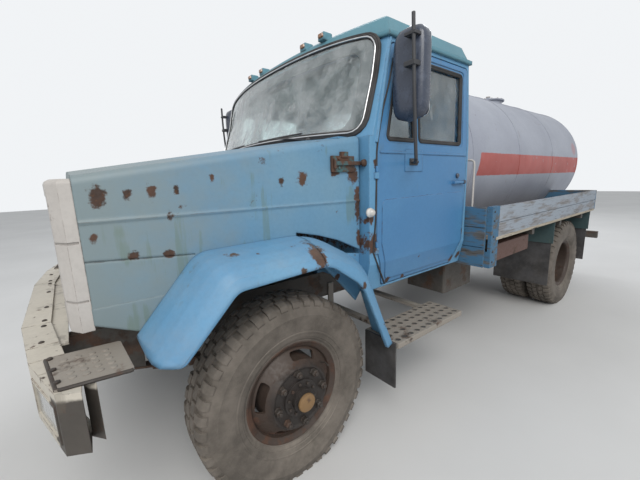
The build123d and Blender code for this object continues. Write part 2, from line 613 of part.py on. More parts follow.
def bonnet_wire(x, half, z0, z_shoulder, z_crown, inset):
    h = half - inset
    s = z_shoulder - inset
    c = z_crown - inset
    r = SHOULDER_R - inset * 0.5
    k = r * (1 - math.sqrt(0.5))
    foot = SWAGE_Z - SWAGE_HALF
    top = SWAGE_Z + SWAGE_HALF
    ridge = h + SWAGE_PROUD
    edges = [
        Edge.make_line((x, -h, z0), (x, h, z0)),
        Edge.make_line((x, h, z0), (x, h, foot)),
        Edge.make_line((x, h, foot), (x, ridge, SWAGE_Z)),
        Edge.make_line((x, ridge, SWAGE_Z), (x, h, top)),
        Edge.make_line((x, h, top), (x, h, s - r)),
        Edge.make_three_point_arc((x, h, s - r), (x, h - k, s - k), (x, h - r, s)),
        Edge.make_three_point_arc((x, h - r, s), (x, 0, c), (x, -h + r, s)),
        Edge.make_three_point_arc((x, -h + r, s), (x, -h + k, s - k), (x, -h, s - r)),
        Edge.make_line((x, -h, s - r), (x, -h, top)),
        Edge.make_line((x, -h, top), (x, -ridge, SWAGE_Z)),
        Edge.make_line((x, -ridge, SWAGE_Z), (x, -h, foot)),
        Edge.make_line((x, -h, foot), (x, -h, z0)),
    ]
    return Wire(edges)


def bonnet_body(inset, x_front, x_rear):
    """Loft between the two sections, evaluated at the given ends."""
    (xf, *front), (xr, *rear) = BONNET_SECTIONS
    wires = []
    for x in (x_front, x_rear):
        t = (x - xf) / (xr - xf)
        row = [a + (b - a) * t for a, b in zip(front, rear)]
        wires.append(bonnet_wire(x, *row, inset))
    return Solid.make_loft(wires, True)


# Wheel arch lines in (x, z) from the front tip over the wheel to the rear tip, with the fillet radius of each inner
# corner: where the arch meets the bonnet's side, its outer crease, and its lower edge
ARCH_JOINT = [(655.0, 975.0), (398.0, 1279.0), (-160.0, 1296.0), (-480.0, 1120.0), (-668.0, 595.0)]
JOINT_RADII = [130.0, 420.0, 330.0]
ARCH_CREASE = [(570.0, 938.0), (345.0, 1200.0), (-140.0, 1211.0), (-375.0, 1085.0), (-607.0, 595.0)]
CREASE_RADII = [85.0, 300.0, 280.0]
ARCH_LIP = [(560.0, 938.0), (333.0, 1160.0), (-130.0, 1178.0), (-352.0, 1028.0), (-553.0, 595.0)]
LIP_RADII = [75.0, 165.0, 225.0]
ARCH_EDGE = [(552.0, 930.0), (333.0, 1152.0), (-130.0, 1170.0), (-345.0, 1020.0), (-545.0, 595.0)]
EDGE_RADII = [40.0, 70.0, 160.0, 220.0]
ARCH_SEAM_GAP = 6.0
ARCH_WIDTH = FLARE_CREASE_Y - FRONT_FLARE_INNER_Y
# Sections of the arch: share of its width from the inner edge to the crease, how far the top has come from joint to
# crease, x of the front tip's foot
ARCH_SECTIONS = [
    (0.0, 0.0, 650.0),
    (10 / 33, 0.0, 650.0),
    (18 / 33, 0.12, 650.0),
    (25 / 33, 0.36, 645.0),
    (30 / 33, 0.68, 630.0),
    (1.0, 1.0, 600.0),
]


def offset_band(points, gap):
    """Points moved along the vector from a point inside the wheel, outward for a positive gap."""
    moved = []
    for x, z in points:
        d = math.hypot(x, z - 500.0)
        moved.append((x * (d + gap) / d, 500.0 + (z - 500.0) * (d + gap) / d))
    return moved


def arch_wire(y, top, top_radii, tip_x, edge):
    """One closed section of the arch at y, from its top line and its lower edge."""
    over = FilletPolyline(*top, radius=top_radii)
    under = FilletPolyline(*reversed(edge), (tip_x, edge[0][1]), radius=list(reversed(EDGE_RADII)))
    edges = over.edges() + [Line(top[-1], edge[-1]).edge()] + under.edges() + [Line((tip_x, edge[0][1]), top[0]).edge()]
    side = Plane(origin=(0, y, 0), x_dir=(1, 0, 0), z_dir=(0, -1, 0))
    return Wire([side.from_local_coords(edge) for edge in edges])


def arch_body(wall, edge_gap, lip):
    """The arch as a solid block, its top moved in by wall and its lower edge by edge_gap, with or without its lip."""
    edge = offset_band(ARCH_EDGE, -edge_gap)
    wires = []
    for across, share, tip_x in ARCH_SECTIONS:
        y = FRONT_FLARE_INNER_Y + ARCH_WIDTH * across
        top = [(xa + (xb - xa) * share, za + (zb - za) * share) for (xa, za), (xb, zb) in zip(ARCH_JOINT, ARCH_CREASE)]
        radii = [ra + (rb - ra) * share - wall for ra, rb in zip(JOINT_RADII, CREASE_RADII)]
        wires.append(arch_wire(y - wall * 0.3, offset_band(top, -wall), radii, tip_x - wall, edge))
    if lip:
        wires.append(arch_wire(FLARE_CREASE_Y + FLARE_LIP, ARCH_LIP, LIP_RADII, ARCH_SECTIONS[-1][2] - 24.0, edge))
    return Solid.make_loft(wires, True)


flare = arch_body(0, 0, True) - arch_body(FLARE_WALL, 60, False)
front_half = box(FLARE_SEAM_X + ARCH_SEAM_GAP / 2, 900, 800, 1400, 400, 1500)
rear_half = box(-900, FLARE_SEAM_X - ARCH_SEAM_GAP / 2, FLARE_INNER_Y, 1400, 400, 1500)
cab_corner = box(CAB_FRONT_X - 300, CAB_FRONT_X, 800, CAB_HALF_W, CAB_SILL_Z, 1400)
flare_front = flare & front_half
flare_rear = (flare & rear_half) - cab_corner

# The bonnet's shell, open below and behind, with the arch cut from its sides and its rear top cut for the cowl
bonnet = bonnet_body(0, BONNET_FRONT_X, BONNET_REAR_X)
bonnet -= bonnet_body(BONNET_WALL, BONNET_FRONT_X - BONNET_WALL, BONNET_REAR_X - 20)
bonnet -= box(BONNET_REAR_X - 30, BONNET_FRONT_X - BONNET_WALL, -940 + BONNET_WALL, 940 - BONNET_WALL, 900, 1100)
bonnet -= box(BONNET_REAR_X - 30, COWL_FRONT_X + COWL_GAP, -COWL_HALF_W - COWL_GAP, COWL_HALF_W + COWL_GAP, COWL_Z - COWL_GAP, 2000)
arch_cut = soft_poly(60, *(offset_band(ARCH_JOINT, -FLARE_WALL) + [(-900.0, 400.0), (900.0, 400.0), (760.0, 900.0)]))
# The bonnet's lower edge behind the wheel, a little above the rear section of the arch
REAR_EDGE = [(FLARE_SEAM_X + ARCH_SEAM_GAP / 2, 1304.0), (-238.0, 1273.0), (-373.0, 1229.0), (-503.0, 1166.0), (-560.0, 1138.0)]
rear_cut = poly(*(REAR_EDGE + [(-560.0, 900.0), (FLARE_SEAM_X + ARCH_SEAM_GAP / 2, 900.0)]))
lower_cut = poly((900.0, 1080.0), (785.0, 1052.0), (637.0, 985.0), (560.0, 900.0), (900.0, 900.0))
for cut in (prism_y(arch_cut, 800, 1200), prism_y(rear_cut, 800, 1200), prism_y(lower_cut, -1, 1200)):
    bonnet -= cut
    bonnet -= other_side(cut)
FRONT_HOLE = box(BONNET_FRONT_X - 60, BONNET_FRONT_X + 60, -780, 780, 1060, 1560)
bonnet -= FRONT_HOLE
bonnet -= box(BONNET_FRONT_X - 60, BONNET_FRONT_X + 60, -780, 780, 900, 1061)

# The seam between the bonnet's side and the panel below it, ahead of the arch
SIDE_SEAM = [(BONNET_FRONT_X + 5, 1301.0), (BONNET_FRONT_X + 5, 1295.0), (400.0, 1267.0), (400.0, 1273.0)]
SEAM_DEPTH = 5.0
bonnet_rind = bonnet_body(-1, BONNET_FRONT_X, BONNET_REAR_X) - bonnet_body(SEAM_DEPTH, BONNET_FRONT_X + 9, BONNET_REAR_X - 9)
bonnet -= bonnet_rind & prism_y(poly(*SIDE_SEAM), -1200, 1200)
keep("bonnet", bonnet)
flare_seat = bonnet_body(0, BONNET_FRONT_X, BONNET_REAR_X)
flare_front -= flare_seat
keep("front_flares", both(flare_front))

# Grille surround: a frame in front of the bonnet with rounded side caps and horizontal bars
GRILLE_Z0 = 1032.0
GRILLE_Z1 = 1600.0
GRILLE_HALF_W = 897.0
GRILLE_PLAN = [(BONNET_FRONT_X, -GRILLE_HALF_W), (825.0, -GRILLE_HALF_W), (858.0, -845.0), (GRILLE_X, -700.0), (GRILLE_X, 700.0),
               (858.0, 845.0), (825.0, GRILLE_HALF_W), (BONNET_FRONT_X, GRILLE_HALF_W)]
GRILLE_TOP_R = 20.0
CAP_GROOVES = (1151.0, 1372.0)
grille = prism_z(poly(*GRILLE_PLAN), GRILLE_Z0, GRILLE_Z1)
grille = fillet([e for e in grille.edges().group_by(Axis.Z)[-1] if e.center().X > BONNET_FRONT_X + 1], GRILLE_TOP_R)
cap_rind = prism_z(poly(*GRILLE_PLAN), GRILLE_Z0, GRILLE_Z1) - prism_z(offset(poly(*GRILLE_PLAN), -SEAM_DEPTH), GRILLE_Z0 - 1, GRILLE_Z1 + 1)
for z in CAP_GROOVES:
    grille -= cap_rind & box(BONNET_FRONT_X + 6, 1000, -1000, 1000, z - 3.5, z + 3.5)
grille -= box(BONNET_FRONT_X - 10, 1000, -770, 770, GRILLE_Z0 + 70, GRILLE_Z1 - 60)
grille -= box(BONNET_FRONT_X - 10, BONNET_FRONT_X + 30, -850, 850, GRILLE_Z0 + 12, GRILLE_Z1 - 12)
GRILLE_BARS = 5
for i in range(GRILLE_BARS):
    z = GRILLE_Z0 + 70 + (GRILLE_Z1 - GRILLE_Z0 - 130) * (i + 0.5) / GRILLE_BARS
    grille += box(GRILLE_X - 34, GRILLE_X - 6, -775, 775, z - 11, z + 11)
for y in (-260.0, 260.0):
    grille += box(GRILLE_X - 30, GRILLE_X - 10, y - 9, y + 9, GRILLE_Z0 + 65, GRILLE_Z1 - 55)

# Bonnet pivots: ears below the grille, pins on brackets that stand on the rails
EAR_Y = 398.0
EAR_T = 16.0
ear = rod_y(BONNET_PIVOT_X, EAR_Y, EAR_Y + EAR_T, BONNET_PIVOT_Z, 24)
ear += box(BONNET_PIVOT_X - 20, BONNET_PIVOT_X + 20, EAR_Y, EAR_Y + EAR_T, BONNET_PIVOT_Z, GRILLE_Z0 + 20)
ear -= rod_y(BONNET_PIVOT_X, EAR_Y - 5, EAR_Y + EAR_T + 5, BONNET_PIVOT_Z, BONNET_PIN_R + RUN_FIT)
grille += ear
grille += other_side(ear)
keep("grille", grille)
pivot = box(BONNET_PIVOT_X - 24, BONNET_PIVOT_X + 24, EAR_Y - 22, EAR_Y - 4, RAIL_TOP_Z, BONNET_PIVOT_Z)
pivot += rod_y(BONNET_PIVOT_X, EAR_Y - 22, EAR_Y - 4, BONNET_PIVOT_Z, 24)
pivot += rod_y(BONNET_PIVOT_X, EAR_Y - 10, EAR_Y + EAR_T + 8, BONNET_PIVOT_Z, BONNET_PIN_R)
frame_brackets.append(pivot)
keep("frame_brackets", Compound(frame_brackets + [other_side(b) for b in frame_brackets]))

# Rear sections of the arches, on the cab, with the inner splash wall that carries them
SPLASH = [(-108.0, 1262.0), (-190.0, 1240.0), (-345.0, 1160.0), (CAB_FRONT_X, 1125.0), (CAB_FRONT_X, CAB_SILL_Z), (-505.0, 835.0),
          (-385.0, 968.0), (-258.0, 1100.0), (-108.0, 1180.0)]
splash = prism_y(poly(*SPLASH), FLARE_INNER_Y - 12, FLARE_INNER_Y)
keep("rear_flares", both(flare_rear + splash))

# Inside the cab
SEAT_X = -1330.0
seat = box(SEAT_X - 190, SEAT_X + 260, 180, 700, CAB_FLOOR_Z + 30, CAB_FLOOR_Z + 190)
cushion = box(SEAT_X - 190, SEAT_X + 270, 185, 695, CAB_FLOOR_Z + 190, CAB_FLOOR_Z + 330)
seat_back_low = prism_y(poly((SEAT_X - 190, CAB_FLOOR_Z + 330), (SEAT_X - 80, CAB_FLOOR_Z + 330), (SEAT_X - 130, CAB_FLOOR_Z + 980), (SEAT_X - 230, CAB_FLOOR_Z + 980)), 190, 690)
keep("seats", both(seat + cushion + seat_back_low))
DASH = [(CAB_FRONT_X - CAB_WALL, 1380.0), (-800.0, 1420.0), (-830.0, 1560.0), (-700.0, 1700.0), (CAB_FRONT_X - CAB_WALL, 1740.0)]
DASH_HALF_W = CAB_HALF_W - CAB_WALL - 12
keep("dashboard", prism_y(poly(*DASH), -DASH_HALF_W, DASH_HALF_W))
WHEEL_TILT = 38.0
steering_wheel = Pos(-960, 450, 1700) * Rot(0, -WHEEL_TILT, 0) * (Torus(225, 13) + Cylinder(40, 40) + Box(450, 26, 12) + Box(26, 450, 12))
column = Pos(-960, 450, 1700) * Rot(0, -WHEEL_TILT, 0) * Pos(0, 0, -150) * Cylinder(20, 270)
steering_wheel += column
steering_wheel -= prism_y(poly(*DASH), 0, 900)
keep("steering_wheel", steering_wheel)

# Mirrors: an arm from the door, an upright rod and the housing
MIRROR_X = -790.0
MIRROR_Y = CAB_HALF_W + 136.0
arm = box(MIRROR_X - 60, MIRROR_X + 60, CAB_HALF_W, CAB_HALF_W + 12, 1630, 1690)
arm += rod_y(MIRROR_X, CAB_HALF_W + 5, MIRROR_Y, 1660, 11)
arm += rod_z(MIRROR_X, MIRROR_Y, 1648, 2395, 11)
MIRROR_Z0 = 1900.0
MIRROR_Z1 = 2320.0
housing = box(MIRROR_X - 48, MIRROR_X + 42, MIRROR_Y - 85, MIRROR_Y + 105, MIRROR_Z0, MIRROR_Z1)
housing = fillet(housing.edges(), 26)
mirror_left = arm + housing
keep("mirror_left", mirror_left)
keep("mirror_right", other_side(mirror_left))

# Running boards and their brackets from the rails
RUNNING_Z = 595.0
RUNNING_FRONT_X = -625.0
RUNNING_REAR_X = -1350.0
RUNNING_INNER_Y = CAB_HALF_W - 114.0
RUNNING_OUTER_Y = CAB_HALF_W + 156.0
RUNNING_H = 34.0
RUNNING_T = 6.0
running = box(RUNNING_REAR_X, RUNNING_FRONT_X, RUNNING_INNER_Y, RUNNING_OUTER_Y, RUNNING_Z - RUNNING_H, RUNNING_Z)
running = fillet(running.edges().filter_by(Axis.X).group_by(Axis.Z)[-1], 5)
running -= box(RUNNING_REAR_X + RUNNING_T, RUNNING_FRONT_X - RUNNING_T, RUNNING_INNER_Y + RUNNING_T, RUNNING_OUTER_Y - RUNNING_T, 0, RUNNING_Z - RUNNING_T)
for x in (-760.0, -1230.0):
    running += box(x - 25, x + 25, RAIL_OUTER_Y, RUNNING_OUTER_Y - RUNNING_T, RUNNING_Z - 30, RUNNING_Z - RUNNING_T)
    running += box(x - 25, x + 25, RAIL_OUTER_Y, RAIL_OUTER_Y + 12, RUNNING_Z - 30, 760)
keep("running_boards", both(running))

# Flaps behind the front wheels, hung from the running board's front edge
front_flap = box(RUNNING_FRONT_X, RUNNING_FRONT_X + 12, RUNNING_INNER_Y + 10, RUNNING_OUTER_Y - 15, 300, RUNNING_Z)


# Tank: a plain cylinder with dished ends, each a large crown arc and a tangent knuckle arc
CROWN_R = TANK_R * 1.8
KNUCKLE_R = TANK_R * 0.34
CROWN_BACK = math.sqrt((CROWN_R - KNUCKLE_R) ** 2 - (TANK_R - KNUCKLE_R) ** 2)
TANK_DISH = CROWN_R - CROWN_BACK


def end_arcs(x_knuckle, sign):
    """Knuckle and crown arcs of one end in (x, radius), from the cylinder to the centre line."""
    crown_x = x_knuckle - sign * CROWN_BACK
    slope = math.atan2(TANK_R - KNUCKLE_R, CROWN_BACK)
    meet = (crown_x + sign * CROWN_R * math.cos(slope), CROWN_R * math.sin(slope))
    apex = (crown_x + sign * CROWN_R, 0)
    crown_mid = (crown_x + sign * CROWN_R * math.cos(slope / 2), CROWN_R * math.sin(slope / 2))
    turn = (slope + math.pi / 2) / 2
    knuckle_mid = (x_knuckle + sign * KNUCKLE_R * math.cos(turn), TANK_R - KNUCKLE_R + KNUCKLE_R * math.sin(turn))
    knuckle_arc = ThreePointArc((x_knuckle, TANK_R), knuckle_mid, meet)
    crown_arc = ThreePointArc(meet, crown_mid, apex)
    return knuckle_arc, crown_arc, apex


front_knuckle, front_crown, front_apex = end_arcs(TANK_FRONT_X, 1)
rear_knuckle, rear_crown, rear_apex = end_arcs(TANK_REAR_X, -1)
shell = Line((TANK_FRONT_X, TANK_R), (TANK_REAR_X, TANK_R))
axis_line = Line(rear_apex, front_apex)
tank_profile = make_face(Curve() + [front_crown, front_knuckle, shell, rear_knuckle, rear_crown, axis_line])
tank = Pos(0, 0, TANK_Z) * revolve(Plane.XZ * tank_profile, Axis.X, 360)
keep("tank", tank)

# Saddles between the rails and the tank: centre x of each
SADDLES = [-2350.0, -3050.0, -4450.0, -5150.0]
SADDLE_HALF_X = 45.0
SADDLE_Y = 560.0
saddle_face = poly((-RAIL_OUTER_Y, RAIL_TOP_Z), (RAIL_OUTER_Y, RAIL_TOP_Z), (SADDLE_Y, 1090), (-SADDLE_Y, 1090))
saddles = []
for x in SADDLES:
    block = prism_x(saddle_face, x - SADDLE_HALF_X, x + SADDLE_HALF_X)
    block -= rod_x(x - 100, x + 100, 0, TANK_Z, TANK_R)
    saddles += block.solids()

# Fittings on top of the tank, seated on a flat of their own
MANHOLE_X = -4090.0
EYE_XS = (-2700.0, -5060.0)
top_z = TANK_Z + TANK_R
manhole = rod_z(MANHOLE_X, 0, top_z - 60, top_z + 28, 205)
manhole += rod_z(MANHOLE_X, 0, top_z + 28, top_z + 44, 235)
manhole += rod_z(MANHOLE_X + 60, 60, top_z + 44, top_z + 84, 22)
manhole += rod_z(MANHOLE_X - 90, -40, top_z + 44, top_z + 70, 30)
fittings = [manhole - rod_x(TANK_REAR_X, TANK_FRONT_X, 0, TANK_Z, TANK_R)]
for x in EYE_XS:
    eye = prism_x(soft_poly(12, (-45, top_z - 20), (45, top_z - 20), (32, top_z + 62), (-32, top_z + 62)), x - 9, x + 9)
    eye -= rod_x(x - 20, x + 20, 0, top_z + 32, 17)
    fittings.append(eye - rod_x(TANK_REAR_X, TANK_FRONT_X, 0, TANK_Z, TANK_R))
keep("tank_fittings", Compound(fittings))

# Platform beside the tank: cross bearers on the rails, floor boards, side boards and end boards
BEARER_XS = [BED_FRONT_X - 60.0, -2620.0, -WHEELBASE + 400.0, -WHEELBASE - 400.0, BED_REAR_X + 40.0]
BEARER_HALF_X = 30.0
bearers = []
for x in BEARER_XS:
    bearer = box(x - BEARER_HALF_X, x + BEARER_HALF_X, 300, BED_HALF_W - 30, BED_Z - 80, BED_Z)
    bearer += box(x - BEARER_HALF_X, x + BEARER_HALF_X, RAIL_OUTER_Y - RAIL_FLANGE, RAIL_OUTER_Y, RAIL_TOP_Z, BED_Z - 80)
    bearer -= rod_x(x - 100, x + 100, 0, TANK_Z, TANK_R + 6)
    bearers += bearer.solids()
keep("tank_supports", Compound(saddles + bearers + [other_side(b) for b in bearers]))
floor = box(BED_REAR_X, BED_FRONT_X, 560, BED_HALF_W - 25, BED_Z, BED_Z + BED_BOARD)
floor -= rod_x(BED_REAR_X - 10, BED_FRONT_X + 10, 0, TANK_Z, TANK_R + 6)
PLANK_GAP = 6.0
PLANK_GROOVE = 7.0
FLOOR_JOINTS = (840.0, 980.0, 1110.0)
for y in FLOOR_JOINTS:
    floor -= box(BED_REAR_X - 1, BED_FRONT_X + 1, y - PLANK_GAP / 2, y + PLANK_GAP / 2, BED_Z + BED_BOARD - PLANK_GROOVE, BED_Z + BED_BOARD + 1)
keep("bed_floor", both(floor))
side_board = box(BED_REAR_X, BED_FRONT_X - 120, BED_HALF_W - 25, BED_HALF_W, BED_Z, BOARD_TOP_Z)
side_joint = (BED_Z + BOARD_TOP_Z) / 2
for y in (BED_HALF_W, BED_HALF_W - 25):
    side_board -= box(BED_REAR_X - 1, BED_FRONT_X, y - PLANK_GROOVE, y + PLANK_GROOVE, side_joint - PLANK_GAP / 2, side_joint + PLANK_GAP / 2)
keep("side_boards", both(side_board))
POST = box(BED_FRONT_X - 120, BED_FRONT_X, BED_HALF_W - 40, BED_HALF_W, 855, BOARD_TOP_Z + 5)
front_board = box(BED_FRONT_X, BED_FRONT_X + 28, -BED_HALF_W + 40, BED_HALF_W - 40, RAIL_TOP_Z, BOARD_TOP_Z)
for z in (1015.0, 1170.0):
    front_board -= box(BED_FRONT_X + 28 - PLANK_GROOVE, BED_FRONT_X + 30, -BED_HALF_W, BED_HALF_W, z - PLANK_GAP / 2, z + PLANK_GAP / 2)
corner_post = POST - box(BED_FRONT_X - 200, BED_FRONT_X + 50, 500, BED_HALF_W - 25, BED_Z - 100, BED_Z + BED_BOARD)
tail_board = box(BED_REAR_X - 28, BED_REAR_X, -BED_HALF_W, BED_HALF_W, BED_Z, BOARD_TOP_Z)
tail_board -= rod_x(BED_REAR_X - 100, BED_REAR_X + 100, 0, TANK_Z, TANK_R + 6)
keep("end_boards", Compound([front_board, corner_post, other_side(corner_post), tail_board]))

# Rusty tool box under the floor, mudguard panels and flaps round the rear wheels
keep("side_box", box(-2600, -1760, 900, BED_HALF_W - 60, 860, BED_Z - 80))
GUARD_XS = (-WHEELBASE + 640.0, -WHEELBASE - 680.0)
GUARD_INNER_Y = 640.0
guard_y = BED_HALF_W - 10
flap_y = BED_HALF_W - 30
guards = []
for x in GUARD_XS:
    panel = box(x, x + 10, GUARD_INNER_Y, guard_y, 830, BED_Z) + box(x, x + 60, GUARD_INNER_Y, guard_y, BED_Z - 6, BED_Z)
    guards.append(panel)
keep("rear_guards", Compound(guards + [other_side(g) for g in guards]))
FLAP_T = 8.0
flaps = [
    box(GUARD_XS[0] - FLAP_T, GUARD_XS[0], GUARD_INNER_Y + 20, flap_y, 360, 900),
    box(GUARD_XS[1] - FLAP_T, GUARD_XS[1], GUARD_INNER_Y + 20, flap_y, 420, BED_Z - 60),
]
flaps.append(front_flap)
keep("mud_flaps", Compound(flaps + [other_side(f) for f in flaps]))

# Tail bar and lamps
tail_bar = box(RAIL_REAR_X - 90, RAIL_REAR_X - 30, -1150, 1150, 560, 660)
for side in (1, -1):
    y = side * SPRING_Y
    tail_bar += box(RAIL_REAR_X - 60, RAIL_REAR_X, y - 30, y + 30, 600, 800)
keep("tail_bar", tail_bar)
tail_lamp = box(RAIL_REAR_X - 110, RAIL_REAR_X - 90, 880, 1120, 575, 645)
keep("tail_lamps", both(tail_lamp))


# Wheels
def tyre_profile(y):
    w = TYRE_HALF_W
    half = [(RIM_HALF_W - 10.5, RIM_R - 18), (RIM_HALF_W - 0.5, RIM_R + 1), (w - 8, RIM_R + 34), (w, 392.0), (w - 10, 460.0), (w - 28, TYRE_R - 12), (40.0, TYRE_R)]
    pts = [(y + a, r) for a, r in half] + [(y - a, r) for a, r in reversed(half)]
    return poly(*pts)


def tyre(x, y, z, soft):
    """A tyre that stands on z = 0. A soft one bulges out at its foot."""
    shape = turned(tyre_profile(y), x, z)
    if soft:
        rows = [(0.0, 205.0, TYRE_HALF_W + 4), (42.0, 250.0, TYRE_HALF_W + 26), (95.0, 280.0, TYRE_HALF_W + 16), (170.0, 275.0, TYRE_HALF_W - 14)]
        foot = None
        for (za, xa, ya), (zb, xb, yb) in zip(rows, rows[1:]):
            wires = [Wire.make_polygon([(x + sx * a, y + sy * b, zz) for sx, sy in ((1, 1), (-1, 1), (-1, -1), (1, -1))], close=True)
                     for zz, a, b in ((za, xa, ya), (zb, xb, yb))]
            step = Solid.make_loft(wires, True)
            foot = step if foot is None else foot + step
        foot -= turned(poly((y - 300, 0), (y + 300, 0), (y + 300, RIM_R + 20), (y - 300, RIM_R + 20)), x, z)
        shape += foot
    return shape - box(x - 700, x + 700, y - 300, y + 300, -300, 0)


def rim_section(lip):
    """Section of rim and disc as (offset, radius): over the tyre's seats, back under the barrel, round the disc."""
    w = RIM_HALF_W
    well = RIM_R - 30
    under = well - RIM_WALL
    seat = DISC_OFFSET
    back = DISC_OFFSET - DISC_T
    barrel = [(w, RIM_R), (w - 10, RIM_R - 18.3), (w - 26, well), (-w + 26, well), (-w + 10, RIM_R - 18.3), (-w, RIM_R)]
    inner_edge = [(-w - 4, RIM_R - 8), (-w + 12, RIM_R - 34), (-w + 26, under)]
    disc_back = [(58, under), (76, 215), (112, 182), (back, 156), (back, 60)]
    disc_front = [(seat, 60), (seat, 148), (seat + lip, 158), (seat + lip, 166), (122, 190), (88, 224), (70, under)]
    outer_edge = [(w - 26, under), (w - 12, RIM_R - 34), (w + 4, RIM_R - 8)]
    return barrel + inner_edge + disc_back + disc_front + outer_edge


def hand_hole():
    """One kidney-shaped hand hole at the top of the disc, drawn in (x, z)."""
    a = math.radians(HAND_HOLE_HALF_ANGLE)

    def at(r, t):
        return (r * math.sin(t), r * math.cos(t))
    outer = ThreePointArc(at(HAND_HOLE_R1, -a), at(HAND_HOLE_R1, 0), at(HAND_HOLE_R1, a))
    inner = ThreePointArc(at(HAND_HOLE_R0, a), at(HAND_HOLE_R0, 0), at(HAND_HOLE_R0, -a))
    ends = [Line(at(HAND_HOLE_R1, a), at(HAND_HOLE_R0, a)), Line(at(HAND_HOLE_R0, -a), at(HAND_HOLE_R1, -a))]
    face = make_face(Curve() + [outer, ends[0], inner, ends[1]])
    return fillet(face.vertices(), 13)


def wheel(x, y, z, out, lip):
    """Rim and disc with the hand holes cut; the disc stands towards out, +1 or -1, from the rim's middle."""
    section = [(y + out * offset, radius) for offset, radius in rim_section(lip)]
    shape = turned(poly(*section), x, z)
    for i in range(HAND_HOLES):
        turn = Rot(0, HAND_HOLE_PHASE + 360.0 * i / HAND_HOLES, 0)
        cut = prism_y(hand_hole(), y + min(0, out * 180), y + max(0, out * 180))
        shape -= Pos(x, 0, z) * (turn * cut)
    return shape


def nuts(x, y0, z):
    """Wheel nuts that stand outward from the plane y0."""
    solids = []
    for i in range(NUT_COUNT):
        a = math.radians(NUT_PHASE + 360.0 * i / NUT_COUNT)
        solids.append(rod_y(x + NUT_CIRCLE_R * math.sin(a), y0 - 1, y0 + NUT_LENGTH, z + NUT_CIRCLE_R * math.cos(a), NUT_R))
    return solids


SPINDLE_END_Y = FRONT_WHEEL_Y + DISC_OFFSET + 20
FRONT_SPINDLE_R = 30.0
DRUM_R = 190.0
HUB_FLANGE_R = 98.0
HUB_R = 60.0
CAP_R = 47.0
BRAKE_PLATE_Y = 858.0
front_seat_y = FRONT_WHEEL_Y + DISC_OFFSET
front_rim = wheel(0, FRONT_WHEEL_Y, FRONT_WHEEL_Z, 1, DISC_LIP)
front_rim += rod_y(0, BRAKE_PLATE_Y + 8, front_seat_y - DISC_T - 18, FRONT_WHEEL_Z, DRUM_R)
front_rim += rod_y(0, front_seat_y - 40, front_seat_y - DISC_T, FRONT_WHEEL_Z, 152)
front_rim += rod_y(0, front_seat_y - 40, front_seat_y + 12, FRONT_WHEEL_Z, HUB_FLANGE_R)
front_rim += rod_y(0, front_seat_y, front_seat_y + 38, FRONT_WHEEL_Z, HUB_R)
front_rim += rod_y(0, front_seat_y, front_seat_y + 62, FRONT_WHEEL_Z, CAP_R)
for nut in nuts(0, front_seat_y, FRONT_WHEEL_Z):
    front_rim += nut
front_rim -= rod_y(0, BRAKE_PLATE_Y, SPINDLE_END_Y + 2, FRONT_WHEEL_Z, FRONT_SPINDLE_R + RUN_FIT)
keep("front_rim_left", front_rim)
keep("front_rim_right", other_side(front_rim))
front_tyre = tyre(0, FRONT_WHEEL_Y, FRONT_WHEEL_Z, True)
keep("front_tyre_left", front_tyre)
keep("front_tyre_right", other_side(front_tyre))

# Knuckles: a fork round the beam's boss, the kingpin, the spindle, a brake plate and the track-rod arm
FORK_GAP = 0.3
FORK_T = 35.0
FORK_HALF_X = 38.0
fork_top = FRONT_WHEEL_Z + BOSS_HALF_H + FORK_GAP
fork_bottom = FRONT_WHEEL_Z - BOSS_HALF_H - FORK_GAP
plate_back = BRAKE_PLATE_Y - 16
knuckle = rod_z(0, KINGPIN_Y, fork_bottom - FORK_T - 5, fork_top + FORK_T + 5, KINGPIN_R)
for z0, z1 in ((fork_top, fork_top + FORK_T), (fork_bottom - FORK_T, fork_bottom)):
    knuckle += rod_z(0, KINGPIN_Y, z0, z1, FORK_HALF_X)
    knuckle += box(-FORK_HALF_X, FORK_HALF_X, KINGPIN_Y, BRAKE_PLATE_Y, z0, z1)
knuckle += box(-FORK_HALF_X, FORK_HALF_X, plate_back, BRAKE_PLATE_Y, fork_bottom - FORK_T, fork_top + FORK_T)
knuckle += rod_y(0, BRAKE_PLATE_Y - 12, BRAKE_PLATE_Y, FRONT_WHEEL_Z, DRUM_R - 12)
knuckle += rod_y(0, BRAKE_PLATE_Y - 8, SPINDLE_END_Y, FRONT_WHEEL_Z, FRONT_SPINDLE_R)
ARM_T = 20.0
ARM_Z0 = FRONT_WHEEL_Z - 83.0
TRACK_Z = ARM_Z0 - 19.0
TRACK_PIN_R = 9.0
arm_face = poly(
    (-20.0, KINGPIN_Y - 15),
    (20.0, KINGPIN_Y + 30),
    (-30.0, KINGPIN_Y + 40),
    (STEER_ARM_X - 5, STEER_ARM_Y + 26),
    (STEER_ARM_X - 26, STEER_ARM_Y),
    (STEER_ARM_X, STEER_ARM_Y - 26),
    (STEER_ARM_X + 30, STEER_ARM_Y - 14),
)
knuckle += prism_z(arm_face, ARM_Z0, ARM_Z0 + ARM_T)
knuckle += rod_z(STEER_ARM_X, STEER_ARM_Y, TRACK_Z - 13, ARM_Z0 + ARM_T, TRACK_PIN_R)
keep("knuckle_left", knuckle)
keep("knuckle_right", other_side(knuckle))

